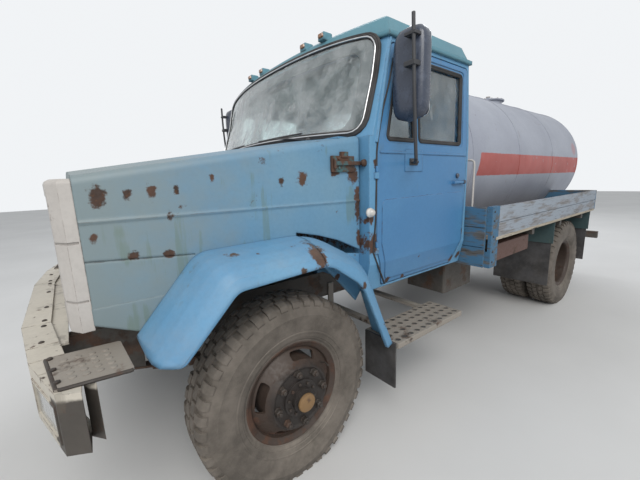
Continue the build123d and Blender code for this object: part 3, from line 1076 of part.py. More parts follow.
# Track rod between the two steering arms
TRACK_ROD_R = 13.0
TRACK_END_R = 22.0
TRACK_END_HALF_H = 15.0
track_rod = rod_y(STEER_ARM_X, -STEER_ARM_Y, STEER_ARM_Y, TRACK_Z, TRACK_ROD_R)
for y in (STEER_ARM_Y, -STEER_ARM_Y):
    track_rod += rod_z(STEER_ARM_X, y, TRACK_Z - TRACK_END_HALF_H, TRACK_Z + TRACK_END_HALF_H, TRACK_END_R)
for y in (STEER_ARM_Y, -STEER_ARM_Y):
    track_rod -= rod_z(STEER_ARM_X, y, TRACK_Z - 30, TRACK_Z + 30, TRACK_PIN_R + RUN_FIT)
keep("track_rod", track_rod)

# Rear twin wheels on one hub, their discs back to back
rear_seat_y = REAR_OUTER_Y - DISC_OFFSET
HUB_END_Y = rear_seat_y + 112.0
rear_rims = wheel(-WHEELBASE, REAR_OUTER_Y, REAR_WHEEL_Z, -1, 0)
rear_rims += wheel(-WHEELBASE, REAR_INNER_Y, REAR_WHEEL_Z, 1, 0)
rear_rims += rod_y(-WHEELBASE, AXLE_END_Y + 60, rear_seat_y - DISC_T - 18, REAR_WHEEL_Z, DRUM_R)
rear_rims += rod_y(-WHEELBASE, rear_seat_y - 40, rear_seat_y - DISC_T, REAR_WHEEL_Z, 152)
rear_rims += rod_y(-WHEELBASE, rear_seat_y - 40, rear_seat_y + DISC_T + 14, REAR_WHEEL_Z, HUB_FLANGE_R)
rear_rims += rod_y(-WHEELBASE, rear_seat_y, HUB_END_Y, REAR_WHEEL_Z, 74)
for nut in nuts(-WHEELBASE, rear_seat_y + DISC_T, REAR_WHEEL_Z):
    rear_rims += nut
rear_rims -= rod_y(-WHEELBASE, AXLE_END_Y, REAR_SPINDLE_END_Y + 4, REAR_WHEEL_Z, SPINDLE_R + RUN_FIT)
keep("rear_rims_left", rear_rims)
keep("rear_rims_right", other_side(rear_rims))
rear_tyres = Compound([tyre(-WHEELBASE, y, REAR_WHEEL_Z, False) for y in (REAR_OUTER_Y, REAR_INNER_Y)])
keep("rear_tyres_left", rear_tyres)
keep("rear_tyres_right", other_side(rear_tyres))

ORIGIN_X = (NOSE_X + rear_apex[0]) / 2
os.makedirs("parts", exist_ok=True)
for node, shape in PARTS.items():
    solids = [solid.moved(Location((-ORIGIN_X, 0, 0))) for solid in shape.solids()]
    export_step(Compound(solids) if len(solids) > 1 else solids[0], "parts/" + node + ".step")
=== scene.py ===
"""Looks of the bonneted tanker truck: its finishes, trims, tyres and seats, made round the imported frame."""
import json
import logging
import math
from dataclasses import dataclass
from enum import Enum
from typing import Any, Callable, Iterable, Sequence

import bmesh
import bpy
from mathutils import Matrix, Vector
from mathutils.bvhtree import BVHTree


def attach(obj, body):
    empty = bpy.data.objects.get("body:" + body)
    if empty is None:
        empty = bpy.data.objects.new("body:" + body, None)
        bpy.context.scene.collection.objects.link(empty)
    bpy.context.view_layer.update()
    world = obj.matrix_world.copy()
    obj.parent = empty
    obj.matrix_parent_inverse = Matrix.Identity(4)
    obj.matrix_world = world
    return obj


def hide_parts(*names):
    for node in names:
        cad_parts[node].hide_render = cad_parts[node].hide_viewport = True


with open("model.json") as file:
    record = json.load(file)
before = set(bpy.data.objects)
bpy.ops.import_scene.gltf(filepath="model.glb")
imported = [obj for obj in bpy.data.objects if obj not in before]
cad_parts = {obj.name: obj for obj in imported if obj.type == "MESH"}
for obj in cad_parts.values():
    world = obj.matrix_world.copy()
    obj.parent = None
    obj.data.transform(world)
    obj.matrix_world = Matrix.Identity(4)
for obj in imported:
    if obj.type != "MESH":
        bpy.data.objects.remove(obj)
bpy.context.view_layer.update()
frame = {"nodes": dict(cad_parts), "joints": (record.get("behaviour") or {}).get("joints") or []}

logging.basicConfig(level=logging.INFO, format="%(message)s")
LOG = logging.getLogger("tanker")

Socket = bpy.types.NodeSocket
Node = bpy.types.Node
Tree = bpy.types.NodeTree
Colour = tuple[float, float, float]
Point2 = tuple[float, float]
Point3 = tuple[float, float, float]

AXLE_X: float = next(j for j in frame["joints"] if j["name"] == "steer_left")["pos_m"][0]
REAR_AXLE_X: float = next(j for j in frame["joints"] if j["name"] == "rear_left_spin")["pos_m"][0]

FLOAT = "NodeSocketFloat"
UP = Vector((0, 0, 1))


def at(x: float, y: float, z: float) -> Vector:
    """A point in the row frame from one measured from the front axle.

    Args:
        x: metres ahead of the front axle.
        y: metres to the driver's side.
        z: metres above the ground.

    Returns:
        The point in the shared frame.
    """
    return Vector((x + AXLE_X, y, z))


class Side(Enum):
    """The two sides of the truck, as the sign of y."""

    LEFT = 1.0
    RIGHT = -1.0

    @property
    def word(self) -> str:
        """The side's name in node and body names."""
        return self.name.lower()


class Graph:
    """Short calls that add nodes to one node tree."""

    def __init__(self, tree: Tree) -> None:
        """Takes the tree that the nodes go into."""
        self.tree = tree

    def feed(self, socket: Socket, value: Any) -> None:
        """Links a socket to an output, or sets its value.

        Args:
            socket: the input.
            value: an output socket, or a plain value.
        """
        if isinstance(value, Socket):
            self.tree.links.new(value, socket)
        else:
            socket.default_value = value

    def add(self, kind: str, inputs: dict[Any, Any] | None = None, **props: Any) -> Node:
        """Adds one node.

        Args:
            kind: the node's type name.
            inputs: values or outputs for its inputs, by name or index.
            props: the node's own properties.

        Returns:
            The new node.
        """
        node = self.tree.nodes.new(kind)
        for key, value in props.items():
            setattr(node, key, value)
        for key, value in (inputs or {}).items():
            self.feed(node.inputs[key], value)
        return node

    def noise(self, vector: Any, scale: float, detail: float = 4.0, rough: float = 0.55) -> Socket:
        """A noise value round 0.5 at the given scale."""
        inputs = {"Vector": vector, "Scale": scale, "Detail": detail, "Roughness": rough}
        return self.add("ShaderNodeTexNoise", inputs).outputs["Fac"]

    def math(self, operation: str, a: Any, b: Any = 0.0) -> Socket:
        """The result of one sum on two values."""
        return self.add("ShaderNodeMath", {0: a, 1: b}, operation=operation).outputs[0]

    def times(self, a: Any, b: Any) -> Socket:
        """The product of two values."""
        return self.math("MULTIPLY", a, b)

    def plus(self, a: Any, b: Any) -> Socket:
        """The sum of two values."""
        return self.math("ADD", a, b)

    def minus(self, a: Any, b: Any) -> Socket:
        """What is left of the first value without the second."""
        return self.math("SUBTRACT", a, b)

    def most(self, a: Any, b: Any) -> Socket:
        """The greater of two values."""
        return self.math("MAXIMUM", a, b)

    def step(self, value: Any, low: Any, high: Any, top: Any = 1.0) -> Socket:
        """A smooth rise from 0 at low to top at high."""
        inputs = {"Value": value, "From Min": low, "From Max": high, "To Max": top}
        return self.add("ShaderNodeMapRange", inputs, interpolation_type="SMOOTHSTEP").outputs[0]

    def mix(self, factor: Any, a: Any, b: Any) -> Socket:
        """A colour between a and b.

        Args:
            factor: 0 for a, 1 for b.
            a: the first colour.
            b: the second colour.

        Returns:
            The colour's output.
        """
        node = self.add("ShaderNodeMix", data_type="RGBA")
        self.feed(node.inputs[0], factor)
        for socket, value in ((node.inputs[6], a), (node.inputs[7], b)):
            self.feed(socket, (*value, 1.0) if isinstance(value, tuple) and len(value) == 3 else value)
        return node.outputs[2]

    def ragged(self, vector: Any, scale: float, width: float, detail: float = 4.0,
               rough: float = 0.55) -> Socket:
        """A noise value round 0, as wide as told."""
        centred = self.minus(self.noise(vector, scale, detail, rough), 0.5)
        return self.times(centred, width)

    def length(self, a: Any, b: Any) -> Socket:
        """The length of a distance in two parts."""
        squares = self.plus(self.times(a, a), self.times(b, b))
        return self.math("SQRT", squares)

    def stretched(self, vector: Any, scale: Colour) -> Socket:
        """The coordinates multiplied axis by axis."""
        return self.add("ShaderNodeVectorMath", {0: vector, 1: scale}, operation="MULTIPLY").outputs[0]

    def group(self, tree: Tree, inputs: dict[str, Any]) -> Node:
        """Places a node group with its own values.

        Args:
            tree: the group's tree.
            inputs: values or outputs for its inputs, by name.

        Returns:
            The group's node.
        """
        node = self.tree.nodes.new("ShaderNodeGroup")
        node.node_tree = tree
        for key, value in inputs.items():
            self.feed(node.inputs[key], value)
        return node


@dataclass
class Effect:
    """An effect that more than one finish uses, as a node group that is built once."""

    name: str
    inputs: dict[str, Any]
    outputs: dict[str, str]
    wire: Callable[[Graph, dict[str, Socket]], dict[str, Socket]]
    made: Tree | None = None

    def tree(self) -> Tree:
        """The effect's group, whose tuple inputs are vectors.

        Returns:
            The tree.
        """
        if self.made is not None:
            return self.made
        tree = bpy.data.node_groups.new(self.name, "ShaderNodeTree")
        for key, value in self.inputs.items():
            kind = "NodeSocketVector" if isinstance(value, tuple) else FLOAT
            socket = tree.interface.new_socket(key, in_out="INPUT", socket_type=kind)
            if kind == FLOAT:
                socket.default_value = value
        for key, kind in self.outputs.items():
            tree.interface.new_socket(key, in_out="OUTPUT", socket_type=kind)
        entry = tree.nodes.new("NodeGroupInput")
        end = tree.nodes.new("NodeGroupOutput")
        for key, socket in self.wire(Graph(tree), {key: entry.outputs[key] for key in self.inputs}).items():
            tree.links.new(socket, end.inputs[key])
        self.made = tree
        return tree


def patches(g: Graph, i: dict[str, Socket]) -> dict[str, Socket]:
    """Broken patches: Cover from 0 to 1 says how much is inside, Edge how soft the border is.

    Args:
        g: the graph.
        i: the group's inputs.

    Returns:
        What feeds each output.
    """
    wide = g.noise(i["Vector"], i["Scale"], 6.0, 0.62)
    middle = g.minus(0.74, g.times(i["Cover"], 0.48))
    return {"Mask": g.step(wide, g.minus(middle, i["Edge"]), g.plus(middle, i["Edge"]))}


def runs(g: Graph, i: dict[str, Socket]) -> dict[str, Socket]:
    """Streaks that water draws down a side.

    Args:
        g: the graph.
        i: the group's inputs.

    Returns:
        What feeds each output.
    """
    streak = g.noise(g.stretched(i["Vector"], (1.0, 1.0, 0.07)), i["Scale"], 5.0, 0.6)
    breaks = g.noise(i["Vector"], 3.0, 3.0)
    both = g.times(streak, g.step(breaks, 0.3, 0.65))
    low = g.minus(0.62, g.times(i["Cover"], 0.4))
    return {"Mask": g.step(both, low, g.plus(low, 0.12))}


def rust(g: Graph, i: dict[str, Socket]) -> dict[str, Socket]:
    """The colour, roughness and height of rusted steel.

    Args:
        g: the graph.
        i: the group's inputs.

    Returns:
        What feeds each output.
    """
    broad = g.noise(i["Vector"], 7.0, 5.0)
    fine = g.noise(i["Vector"], 70.0, 6.0, 0.7)
    dark = g.mix(g.step(broad, 0.35, 0.62), (0.030, 0.017, 0.012), (0.075, 0.036, 0.022))
    hot = g.mix(g.step(fine, 0.52, 0.72, 0.6), dark, (0.15, 0.070, 0.034))
    rough = g.plus(0.62, g.times(g.step(fine, 0.1, 0.9), 0.35))
    return {"Color": hot, "Roughness": rough, "Height": fine}


def dust(g: Graph, i: dict[str, Socket]) -> dict[str, Socket]:
    """Dust that lies on upward faces, in patches, and more of it low down.

    Args:
        g: the graph.
        i: the group's inputs.

    Returns:
        What feeds each output.
    """
    normal = g.add("ShaderNodeNewGeometry").outputs["Normal"]
    up = g.step(g.add("ShaderNodeSeparateXYZ", {0: normal}).outputs["Z"], -0.2, 1.0)
    height = g.add("ShaderNodeSeparateXYZ", {0: i["Vector"]}).outputs["Z"]
    low = g.step(height, 1.3, 0.2, 0.6)
    cloud = g.step(g.noise(i["Vector"], 5.0, 6.0, 0.65), 0.3, 0.72)
    fine = g.step(g.noise(i["Vector"], 38.0, 4.0), 0.25, 0.75)
    lying = g.times(g.plus(up, low), g.plus(0.25, g.times(cloud, 0.75)))
    mask = g.times(g.times(lying, i["Amount"]), g.plus(0.55, g.times(fine, 0.45)))
    return {"Mask": g.math("MINIMUM", mask, 1.0)}


def edges(g: Graph, i: dict[str, Socket]) -> dict[str, Socket]:
    """Rounded edges as a normal, and a mask of where the edge is worn.

    Args:
        g: the graph.
        i: the group's inputs.

    Returns:
        What feeds each output.
    """
    soft = g.add("ShaderNodeBevel", {"Radius": i["Radius"]}, samples=4).outputs["Normal"]
    true = g.add("ShaderNodeNewGeometry").outputs["Normal"]
    dot = g.add("ShaderNodeVectorMath", {0: soft, 1: true}, operation="DOT_PRODUCT").outputs["Value"]
    bent = g.step(g.minus(1.0, dot), 0.01, 0.12)
    broken = g.step(g.noise(i["Vector"], 24.0, 5.0), 0.42, 0.62)
    return {"Mask": g.times(bent, broken), "Normal": soft}


ORIGIN: Point3 = (0, 0, 0)
PATCHES = Effect("patches", {"Vector": ORIGIN, "Scale": 5.0, "Cover": 0.3, "Edge": 0.03}, {"Mask": FLOAT},
                 patches)
RUNS = Effect("runs", {"Vector": ORIGIN, "Scale": 26.0, "Cover": 0.3}, {"Mask": FLOAT}, runs)
RUST = Effect("rust", {"Vector": ORIGIN},
              {"Color": "NodeSocketColor", "Roughness": FLOAT, "Height": FLOAT}, rust)
DUSTING = Effect("dust", {"Vector": ORIGIN, "Amount": 0.5}, {"Mask": FLOAT}, dust)
EDGES = Effect("edges", {"Vector": ORIGIN, "Radius": 0.004}, {"Mask": FLOAT, "Normal": "NodeSocketVector"},
               edges)
DUST: Colour = (0.285, 0.25, 0.21)


class Surface(Graph):
    """The graph of one material, with its coordinates and its shader."""

    def __init__(self, tree: Tree) -> None:
        """Adds the coordinates, the Principled shader and its output.

        Args:
            tree: the material's empty tree.
        """
        super().__init__(tree)
        self.place: Socket = self.add("ShaderNodeTexCoord").outputs["Object"]
        self.shader: Node = self.add("ShaderNodeBsdfPrincipled")
        output = self.add("ShaderNodeOutputMaterial")
        tree.links.new(self.shader.outputs["BSDF"], output.inputs["Surface"])

    def mask(self, effect: Effect, **inputs: Any) -> Socket:
        """The mask of one effect, placed with its own values."""
        return self.group(effect.tree(), {"Vector": self.place, **inputs}).outputs["Mask"]

    def set(self, name: str, value: Any) -> None:
        """Feeds one of the shader's inputs."""
        self.feed(self.shader.inputs[name], value)

    def bump(self, strength: float, distance: float, height: Any, normal: Any = None) -> None:
        """Bends the shader's normal by a height.

        Args:
            strength: share of the height that shows.
            distance: metres of a full height.
            height: the height.
            normal: the normal to start from.
        """
        inputs = {"Strength": strength, "Distance": distance, "Height": height}
        if normal is not None:
            inputs["Normal"] = normal
        self.set("Normal", self.add("ShaderNodeBump", inputs).outputs["Normal"])


@dataclass(frozen=True)
class Spot:
    """A patch at one place on a side: where it is, how wide, and how far it has run down."""

    x: float
    z: float
    radius: float
    run: float = 1.0


@dataclass(frozen=True)
class Finish:
    """What every finish shares: its name and its material."""

    name: str

    def material(self) -> bpy.types.Material:
        """The finish as a material, built once.

        Returns:
            The material.
        """
        name = f"{self.name}_finish"
        known = bpy.data.materials.get(name)
        if known is not None:
            return known
        made = bpy.data.materials.new(name)
        made.use_nodes = True
        made.node_tree.nodes.clear()
        self.wire(Surface(made.node_tree))
        return made

    def wire(self, g: Surface) -> None:
        """Adds the finish's own nodes. Each finish has its own."""
        raise NotImplementedError


def spot_mask(g: Surface, spots: Iterable[Spot]) -> Socket:
    """A ragged mask of the named patches on both sides of the truck.

    Args:
        g: the graph.
        spots: the patches.

    Returns:
        The mask.
    """
    ragged = g.ragged(g.place, 26.0, 3.0, 6.0, 0.7)
    parts = g.add("ShaderNodeSeparateXYZ", {0: g.place})
    total: Any = 0.0
    for spot in spots:
        dx = g.math("DIVIDE", g.minus(parts.outputs["X"], spot.x + AXLE_X), spot.radius)
        dz = g.math("DIVIDE", g.minus(parts.outputs["Z"], spot.z), spot.radius)
        below = g.math("DIVIDE", g.times(dz, -1.0), spot.run)
        tall = g.most(dz, below)
        far = g.length(dx, tall)
        total = g.most(total, g.step(g.plus(far, ragged), 1.15, 0.65))
    return total


@dataclass(frozen=True)
class Paint(Finish):
    """Old enamel: faded, stained, dusty, worn to metal on its edges and rusting in patches."""

    colour: Colour
    faded: Colour
    stain: Colour = (0.10, 0.12, 0.07)
    stain_cover: float = 0.2
    rust_cover: float = 0.12
    rust_scale: float = 9.0
    dust: float = 0.35
    wear: float = 0.8
    edge: float = 0.004
    gloss: float = 0.42
    soft: float = 0.0
    spots: tuple[Spot, ...] = ()

    def painted(self, g: Surface) -> Socket:
        """The colour of the sound paint.

        Args:
            g: the graph.

        Returns:
            The colour's output.
        """
        cloud = g.step(g.noise(g.place, 1.4, 4.0), 0.3, 0.7)
        base = g.mix(cloud, self.colour, self.faded)
        speck = g.step(g.noise(g.place, 55.0, 4.0, 0.7), 0.35, 0.75, 0.16)
        return g.mix(speck, base, tuple(c * 0.55 for c in self.colour))

    def wire(self, g: Surface) -> None:
        """Layers stain, rust, wear and dust over the paint.

        Args:
            g: the graph.
        """
        rust = g.group(RUST.tree(), {"Vector": g.place})
        runs = g.mask(RUNS, Cover=self.stain_cover)
        patch = g.mask(PATCHES, Scale=self.rust_scale, Cover=self.rust_cover)
        edges = g.group(EDGES.tree(), {"Vector": g.place, "Radius": self.edge})
        worn = g.times(edges.outputs["Mask"], self.wear)
        bare = g.most(patch, worn)
        if self.spots:
            bare = g.most(bare, spot_mask(g, self.spots))
        dust = g.mask(DUSTING, Amount=self.dust)
        stained = g.mix(g.times(runs, 0.38), self.painted(g), self.stain)
        rusted = g.mix(bare, stained, rust.outputs["Color"])
        g.set("Base Color", g.mix(dust, rusted, DUST))
        rough = g.plus(self.gloss, g.times(g.noise(g.place, 9.0), 0.22))
        rougher = g.most(rough, g.times(bare, rust.outputs["Roughness"]))
        g.set("Roughness", g.most(rougher, g.times(dust, 0.85)))
        peel = g.times(g.noise(g.place, 160.0, 2.0), 0.05)
        sunk = g.times(g.minus(rust.outputs["Height"], 1.0), g.times(bare, 0.8))
        height = g.plus(peel, sunk)
        normal = edges.outputs["Normal"]
        if self.soft:
            normal = g.add("ShaderNodeBevel", {"Radius": self.soft}, samples=6).outputs["Normal"]
        g.bump(0.35, 0.003, height, normal)


@dataclass(frozen=True)
class BonnetPaint(Paint):
    """The bonnet's blue, faded to grey towards the nose."""

    chalk: Colour = (0.185, 0.225, 0.225)
    chalk_x: Point2 = (-0.10, 0.80)

    def painted(self, g: Surface) -> Socket:
        """Blue with the grey over it.

        Args:
            g: the graph.

        Returns:
            The colour's output.
        """
        blue = super().painted(g)
        x = g.add("ShaderNodeSeparateXYZ", {0: g.place}).outputs["X"]
        broken = g.ragged(g.place, 4.0, 1.1, 6.0, 0.65)
        ahead = g.step(g.plus(x, broken), self.chalk_x[0] + AXLE_X, self.chalk_x[1] + AXLE_X, 0.85)
        return g.mix(ahead, blue, self.chalk)


@dataclass(frozen=True)
class BumperPaint(Paint):
    """The bumper's white, with painted shade on its end sections under the top plate."""

    # Painted shade: its colour, and the y and z that bound it on each end.
    dark: Colour = (0.024, 0.019, 0.016)
    shade_from_y: float = 1.075
    shade_below_z: float = 0.925

    def painted(self, g: Surface) -> Socket:
        """White with painted shade on the ends.

        Args:
            g: the graph.

        Returns:
            The colour's output.
        """
        white = super().painted(g)
        parts = g.add("ShaderNodeSeparateXYZ", {0: g.place})
        ragged = g.ragged(g.place, 14.0, 0.03, 5.0)
        outward = g.plus(g.math("ABSOLUTE", parts.outputs["Y"]), ragged)
        across = g.step(outward, self.shade_from_y - 0.01, self.shade_from_y + 0.01)
        under = g.step(g.plus(parts.outputs["Z"], ragged), self.shade_below_z + 0.006, self.shade_below_z - 0.006)
        # Painted shade: the ends go near black below the top plate.
        return g.mix(g.times(g.times(across, under), 0.95), white, self.dark)


@dataclass(frozen=True)
class BandedPaint(Paint):
    """The tank's grey enamel with its red band and the round faded mark near the rear."""

    band: Colour = (0.345, 0.078, 0.068)
    band_z: Point2 = (1.560, 1.775)
    band_x: Point2 = (-5.39, -2.275)
    band_slant: float = 0.25
    mark: Colour = (0.38, 0.20, 0.22)
    mark_place: Point2 = (-5.20, 1.90)
    mark_radius: float = 0.085

    def painted(self, g: Surface) -> Socket:
        """Grey with the band and the mark on it.

        Args:
            g: the graph.

        Returns:
            The colour's output.
        """
        grey = super().painted(g)
        parts = g.add("ShaderNodeSeparateXYZ", {0: g.place})
        wobble = g.ragged(g.place, 30.0, 0.03, 5.0)
        z = g.plus(parts.outputs["Z"], g.times(wobble, 0.5))
        slope = g.times(g.minus(z, self.band_z[0]), self.band_slant)
        x = g.plus(g.plus(parts.outputs["X"], slope), wobble)
        rear, front = (end + AXLE_X for end in self.band_x)
        ends = ((z, self.band_z[0], 1), (z, self.band_z[1], -1), (x, rear, 1), (x, front, -1))
        inside: Any = 1.0
        for value, edge, sign in ends:
            inside = g.times(inside, g.step(value, edge - 0.002 * sign, edge + 0.002 * sign))
        worn = g.mask(PATCHES, Scale=14.0, Cover=0.12)
        paler = tuple(c * 1.15 + 0.02 for c in self.band)
        band = g.mix(g.step(g.noise(g.place, 3.0, 5.0), 0.35, 0.7), self.band, paler)
        lined = g.mix(g.times(inside, g.minus(1.0, worn)), grey, band)
        dx = g.minus(parts.outputs["X"], self.mark_place[0] + AXLE_X)
        dz = g.minus(parts.outputs["Z"], self.mark_place[1])
        far = g.length(dx, dz)
        return g.mix(g.step(far, self.mark_radius + 0.02, self.mark_radius - 0.02, 0.7), lined, self.mark)


@dataclass(frozen=True)
class Steel(Finish):
    """Bare or once-painted steel that has rusted all over, with what paint is left."""

    paint: Colour = (0.05, 0.045, 0.04)
    left: float = 0.4
    dust: float = 0.6
    edge: float = 0.004

    def tinted(self, g: Surface, colour: Socket) -> Socket:
        """The steel's colour with what lies over it by place: nothing here."""
        return colour

    def wire(self, g: Surface) -> None:
        """Rust with paint left in patches and dust on top.

        Args:
            g: the graph.
        """
        rust = g.group(RUST.tree(), {"Vector": g.place})
        kept = g.mask(PATCHES, Scale=8.0, Cover=self.left, Edge=0.05)
        edges = g.group(EDGES.tree(), {"Vector": g.place, "Radius": self.edge})
        sound = g.times(kept, g.minus(1.0, edges.outputs["Mask"]))
        dust = g.mask(DUSTING, Amount=self.dust)
        under = self.tinted(g, g.mix(sound, rust.outputs["Color"], self.paint))
        g.set("Base Color", g.mix(dust, under, DUST))
        g.set("Roughness", g.minus(rust.outputs["Roughness"], g.times(sound, 0.2)))
        height = g.times(rust.outputs["Height"], g.minus(1.0, sound))
        g.bump(0.5, 0.003, height, edges.outputs["Normal"])


@dataclass(frozen=True)
class WheelSteel(Steel):
    """A rusted rim whose middle is painted near black: painted shade in the recess round the hub."""

    # Painted shade: the colour of the recess round each hub, and the radius it reaches.
    oil: Colour = (0.014, 0.011, 0.010)
    oily: float = 0.172
    hubs: tuple[Point2, ...] = ((AXLE_X, 0.475), (REAR_AXLE_X, 0.490))

    def tinted(self, g: Surface, colour: Socket) -> Socket:
        """The colour with painted shade round each hub's centre.

        Args:
            g: the graph.
            colour: the steel's own colour.

        Returns:
            The colour's output.
        """
        parts = g.add("ShaderNodeSeparateXYZ", {0: g.place})
        ragged = g.ragged(g.place, 16.0, 0.07, 5.0)
        black: Any = 0.0
        for x, z in self.hubs:
            dx = g.minus(parts.outputs["X"], x)
            dz = g.minus(parts.outputs["Z"], z)
            far = g.length(dx, dz)
            # Painted shade: near black inside that radius round each hub's centre.
            black = g.most(black, g.step(g.plus(far, ragged), self.oily + 0.02, self.oily - 0.02, 0.93))
        return g.mix(black, colour, self.oil)


@dataclass(frozen=True)
class Rubber(Finish):
    """Tyre or flap rubber, greyed and dusty, with fine cracks."""

    colour: Colour = (0.035, 0.033, 0.031)
    dust: float = 0.8
    crack: float = 0.5

    def wire(self, g: Surface) -> None:
        """Grey rubber with dust in its cracks.

        Args:
            g: the graph.
        """
        inputs = {"Vector": g.place, "Scale": 90.0}
        cracks = g.add("ShaderNodeTexVoronoi", inputs, feature="DISTANCE_TO_EDGE").outputs["Distance"]
        line = g.step(cracks, 0.03, 0.0, self.crack)
        cloud = g.step(g.noise(g.place, 6.0, 6.0, 0.65), 0.34, 0.66)
        fine = g.noise(g.place, 120.0, 3.0)
        dust = g.mask(DUSTING, Amount=self.dust)
        grey = g.mix(cloud, self.colour, tuple(c * 2.0 + 0.012 for c in self.colour))
        dusty = g.mix(g.most(dust, g.times(line, 0.5)), grey, tuple(c * 0.8 for c in DUST))
        g.set("Base Color", dusty)
        g.set("Roughness", g.plus(0.68, g.times(fine, 0.25)))
        height = g.minus(g.times(fine, 0.4), line)
        g.bump(0.35, 0.002, height)


@dataclass(frozen=True)
class Wood(Finish):
    """Weathered boards with grain along the truck or across it, and remains of paint."""

    bare: Colour = (0.21, 0.185, 0.16)
    pale: Colour = (0.40, 0.38, 0.36)
    paint: Colour = (0.33, 0.40, 0.47)
    painted: float = 0.45
    along: Colour = (1.2, 22.0, 22.0)
    dust: float = 0.2

    def wire(self, g: Surface) -> None:
        """Grain, cracks, grey weathering and paint in flakes.

        Args:
            g: the graph.
        """
        grain_place = g.stretched(g.place, self.along)
        grain = g.noise(grain_place, 3.2, 7.0, 0.65)
        crack = g.step(g.noise(grain_place, 6.0, 3.0, 0.4), 0.36, 0.30)
        wood = g.mix(g.step(grain, 0.3, 0.7), self.bare, self.pale)
        flake_place = g.stretched(g.place, tuple(0.25 + c * 0.06 for c in self.along))
        flakes = g.mask(PATCHES, Vector=flake_place, Scale=9.0, Cover=self.painted, Edge=0.05)
        colour = g.mix(g.times(flakes, g.step(grain, 0.25, 0.5)), wood, self.paint)
        cracked = g.mix(g.times(crack, 0.8), colour, (0.045, 0.035, 0.028))
        dust = g.mask(DUSTING, Amount=self.dust)
        g.set("Base Color", g.mix(dust, cracked, DUST))
        g.set("Roughness", g.minus(0.95, g.times(flakes, 0.2)))
        height = g.minus(grain, g.times(crack, 1.5))
        edges = g.group(EDGES.tree(), {"Vector": g.place, "Radius": 0.005})
        g.bump(0.6, 0.004, height, edges.outputs["Normal"])


@dataclass(frozen=True)
class Glass(Finish):
    """Safety glass with a film of dust."""

    tint: Colour = (0.86, 0.93, 0.93)
    film: float = 0.35
    clear: float = 1.0

    def wire(self, g: Surface) -> None:
        """Clear glass, rough where the dust lies.

        Args:
            g: the graph.
        """
        g.set("IOR", 1.45)
        cloud = g.step(g.noise(g.place, 4.0, 6.0, 0.7), 0.36, 0.70, self.film)
        runs = g.mask(RUNS, Scale=16.0, Cover=0.45)
        film = g.most(cloud, g.times(runs, self.film))
        through = g.minus(1.0, g.times(film, 0.6))
        g.set("Transmission Weight", g.times(through, self.clear))
        g.set("Base Color", g.mix(film, self.tint, (0.42, 0.42, 0.44)))
        g.set("Roughness", g.plus(0.02, g.times(film, 0.5)))


@dataclass(frozen=True)
class Lens(Finish):
    """A lamp's moulded lens with flutes, dusty."""

    colour: Colour
    flute: float = 95.0
    metallic: float = 0.0

    def wire(self, g: Surface) -> None:
        """Glossy lens over its reflector, with flutes as bump.

        Args:
            g: the graph.
        """
        g.set("Metallic", self.metallic)
        g.set("Coat Weight", 0.8)
        g.set("Coat Roughness", 0.06)
        parts = g.add("ShaderNodeSeparateXYZ", {0: g.place})
        wave = g.math("SINE", g.times(parts.outputs["Y"], self.flute * 2.0))
        dust = g.mask(DUSTING, Amount=0.6)
        shade = g.mix(g.step(wave, -1.0, 1.0, 0.6), self.colour, tuple(c * 0.45 for c in self.colour))
        g.set("Base Color", g.mix(dust, shade, DUST))
        g.set("Roughness", g.plus(0.22, g.times(dust, 0.5)))
        g.bump(0.4, 0.003, wave)


@dataclass(frozen=True)
class Moulded(Finish):
    """Moulded plastic, vinyl or cast metal with oil on it: one colour with scuffs and a fine grain."""

    colour: Colour
    rough: float = 0.5
    grain: float = 300.0
    grain_depth: float = 0.0006
    metallic: float = 0.0
    dust: float = 0.35

    def wire(self, g: Surface) -> None:
        """Grained colour with scuffs and dust.

        Args:
            g: the graph.
        """
        g.set("Metallic", self.metallic)
        scuff = g.step(g.noise(g.place, 18.0, 6.0, 0.7), 0.5, 0.72, 0.5)
        dust = g.mask(DUSTING, Amount=self.dust)
        worn = g.mix(scuff, self.colour, tuple(min(c * 1.8 + 0.02, 1.0) for c in self.colour))
        g.set("Base Color", g.mix(dust, worn, DUST))
        g.set("Roughness", g.plus(self.rough, g.times(scuff, 0.4)))
        g.bump(0.5, self.grain_depth, g.noise(g.place, self.grain, 3.0))


HOOD_SPOTS = (
    Spot(0.715, 1.545, 0.026, 2.4), Spot(0.62, 1.543, 0.016, 2.0), Spot(0.535, 1.552, 0.018, 2.2),
    Spot(0.447, 1.553, 0.013, 1.8), Spot(0.748, 1.385, 0.014, 1.6), Spot(0.632, 1.300, 0.022, 1.0),
    Spot(0.50, 1.285, 0.02, 1.0), Spot(-0.15, 1.585, 0.028, 1.6), Spot(-0.03, 1.57, 0.018, 1.5),
    Spot(-0.515, 1.50, 0.022, 9.0), Spot(-0.48, 1.60, 0.045, 1.3), Spot(-0.36, 1.62, 0.03, 1.2),
    Spot(-0.525, 1.25, 0.026, 3.0), Spot(0.30, 1.60, 0.012, 2.0),
)
FLARE_SPOTS = (Spot(-0.085, 1.225, 0.045, 1.2), Spot(-0.36, 1.02, 0.02, 1.5), Spot(0.02, 1.175, 0.018, 1.0))
CAB_SPOTS = (Spot(-0.575, 1.20, 0.05, 1.4), Spot(-0.56, 1.33, 0.022, 1.4), Spot(-1.59, 0.95, 0.03, 1.0),
    Spot(-0.60, 1.66, 0.018, 2.0))
DOOR_SPOTS = (Spot(-1.49, 0.935, 0.03, 1.0), Spot(-0.74, 0.93, 0.024, 1.0), Spot(-0.90, 0.915, 0.018, 1.0),
    Spot(-1.585, 1.15, 0.018, 1.5))

SKY: Colour = (0.090, 0.250, 0.425)
SKY_FADED: Colour = (0.135, 0.310, 0.475)


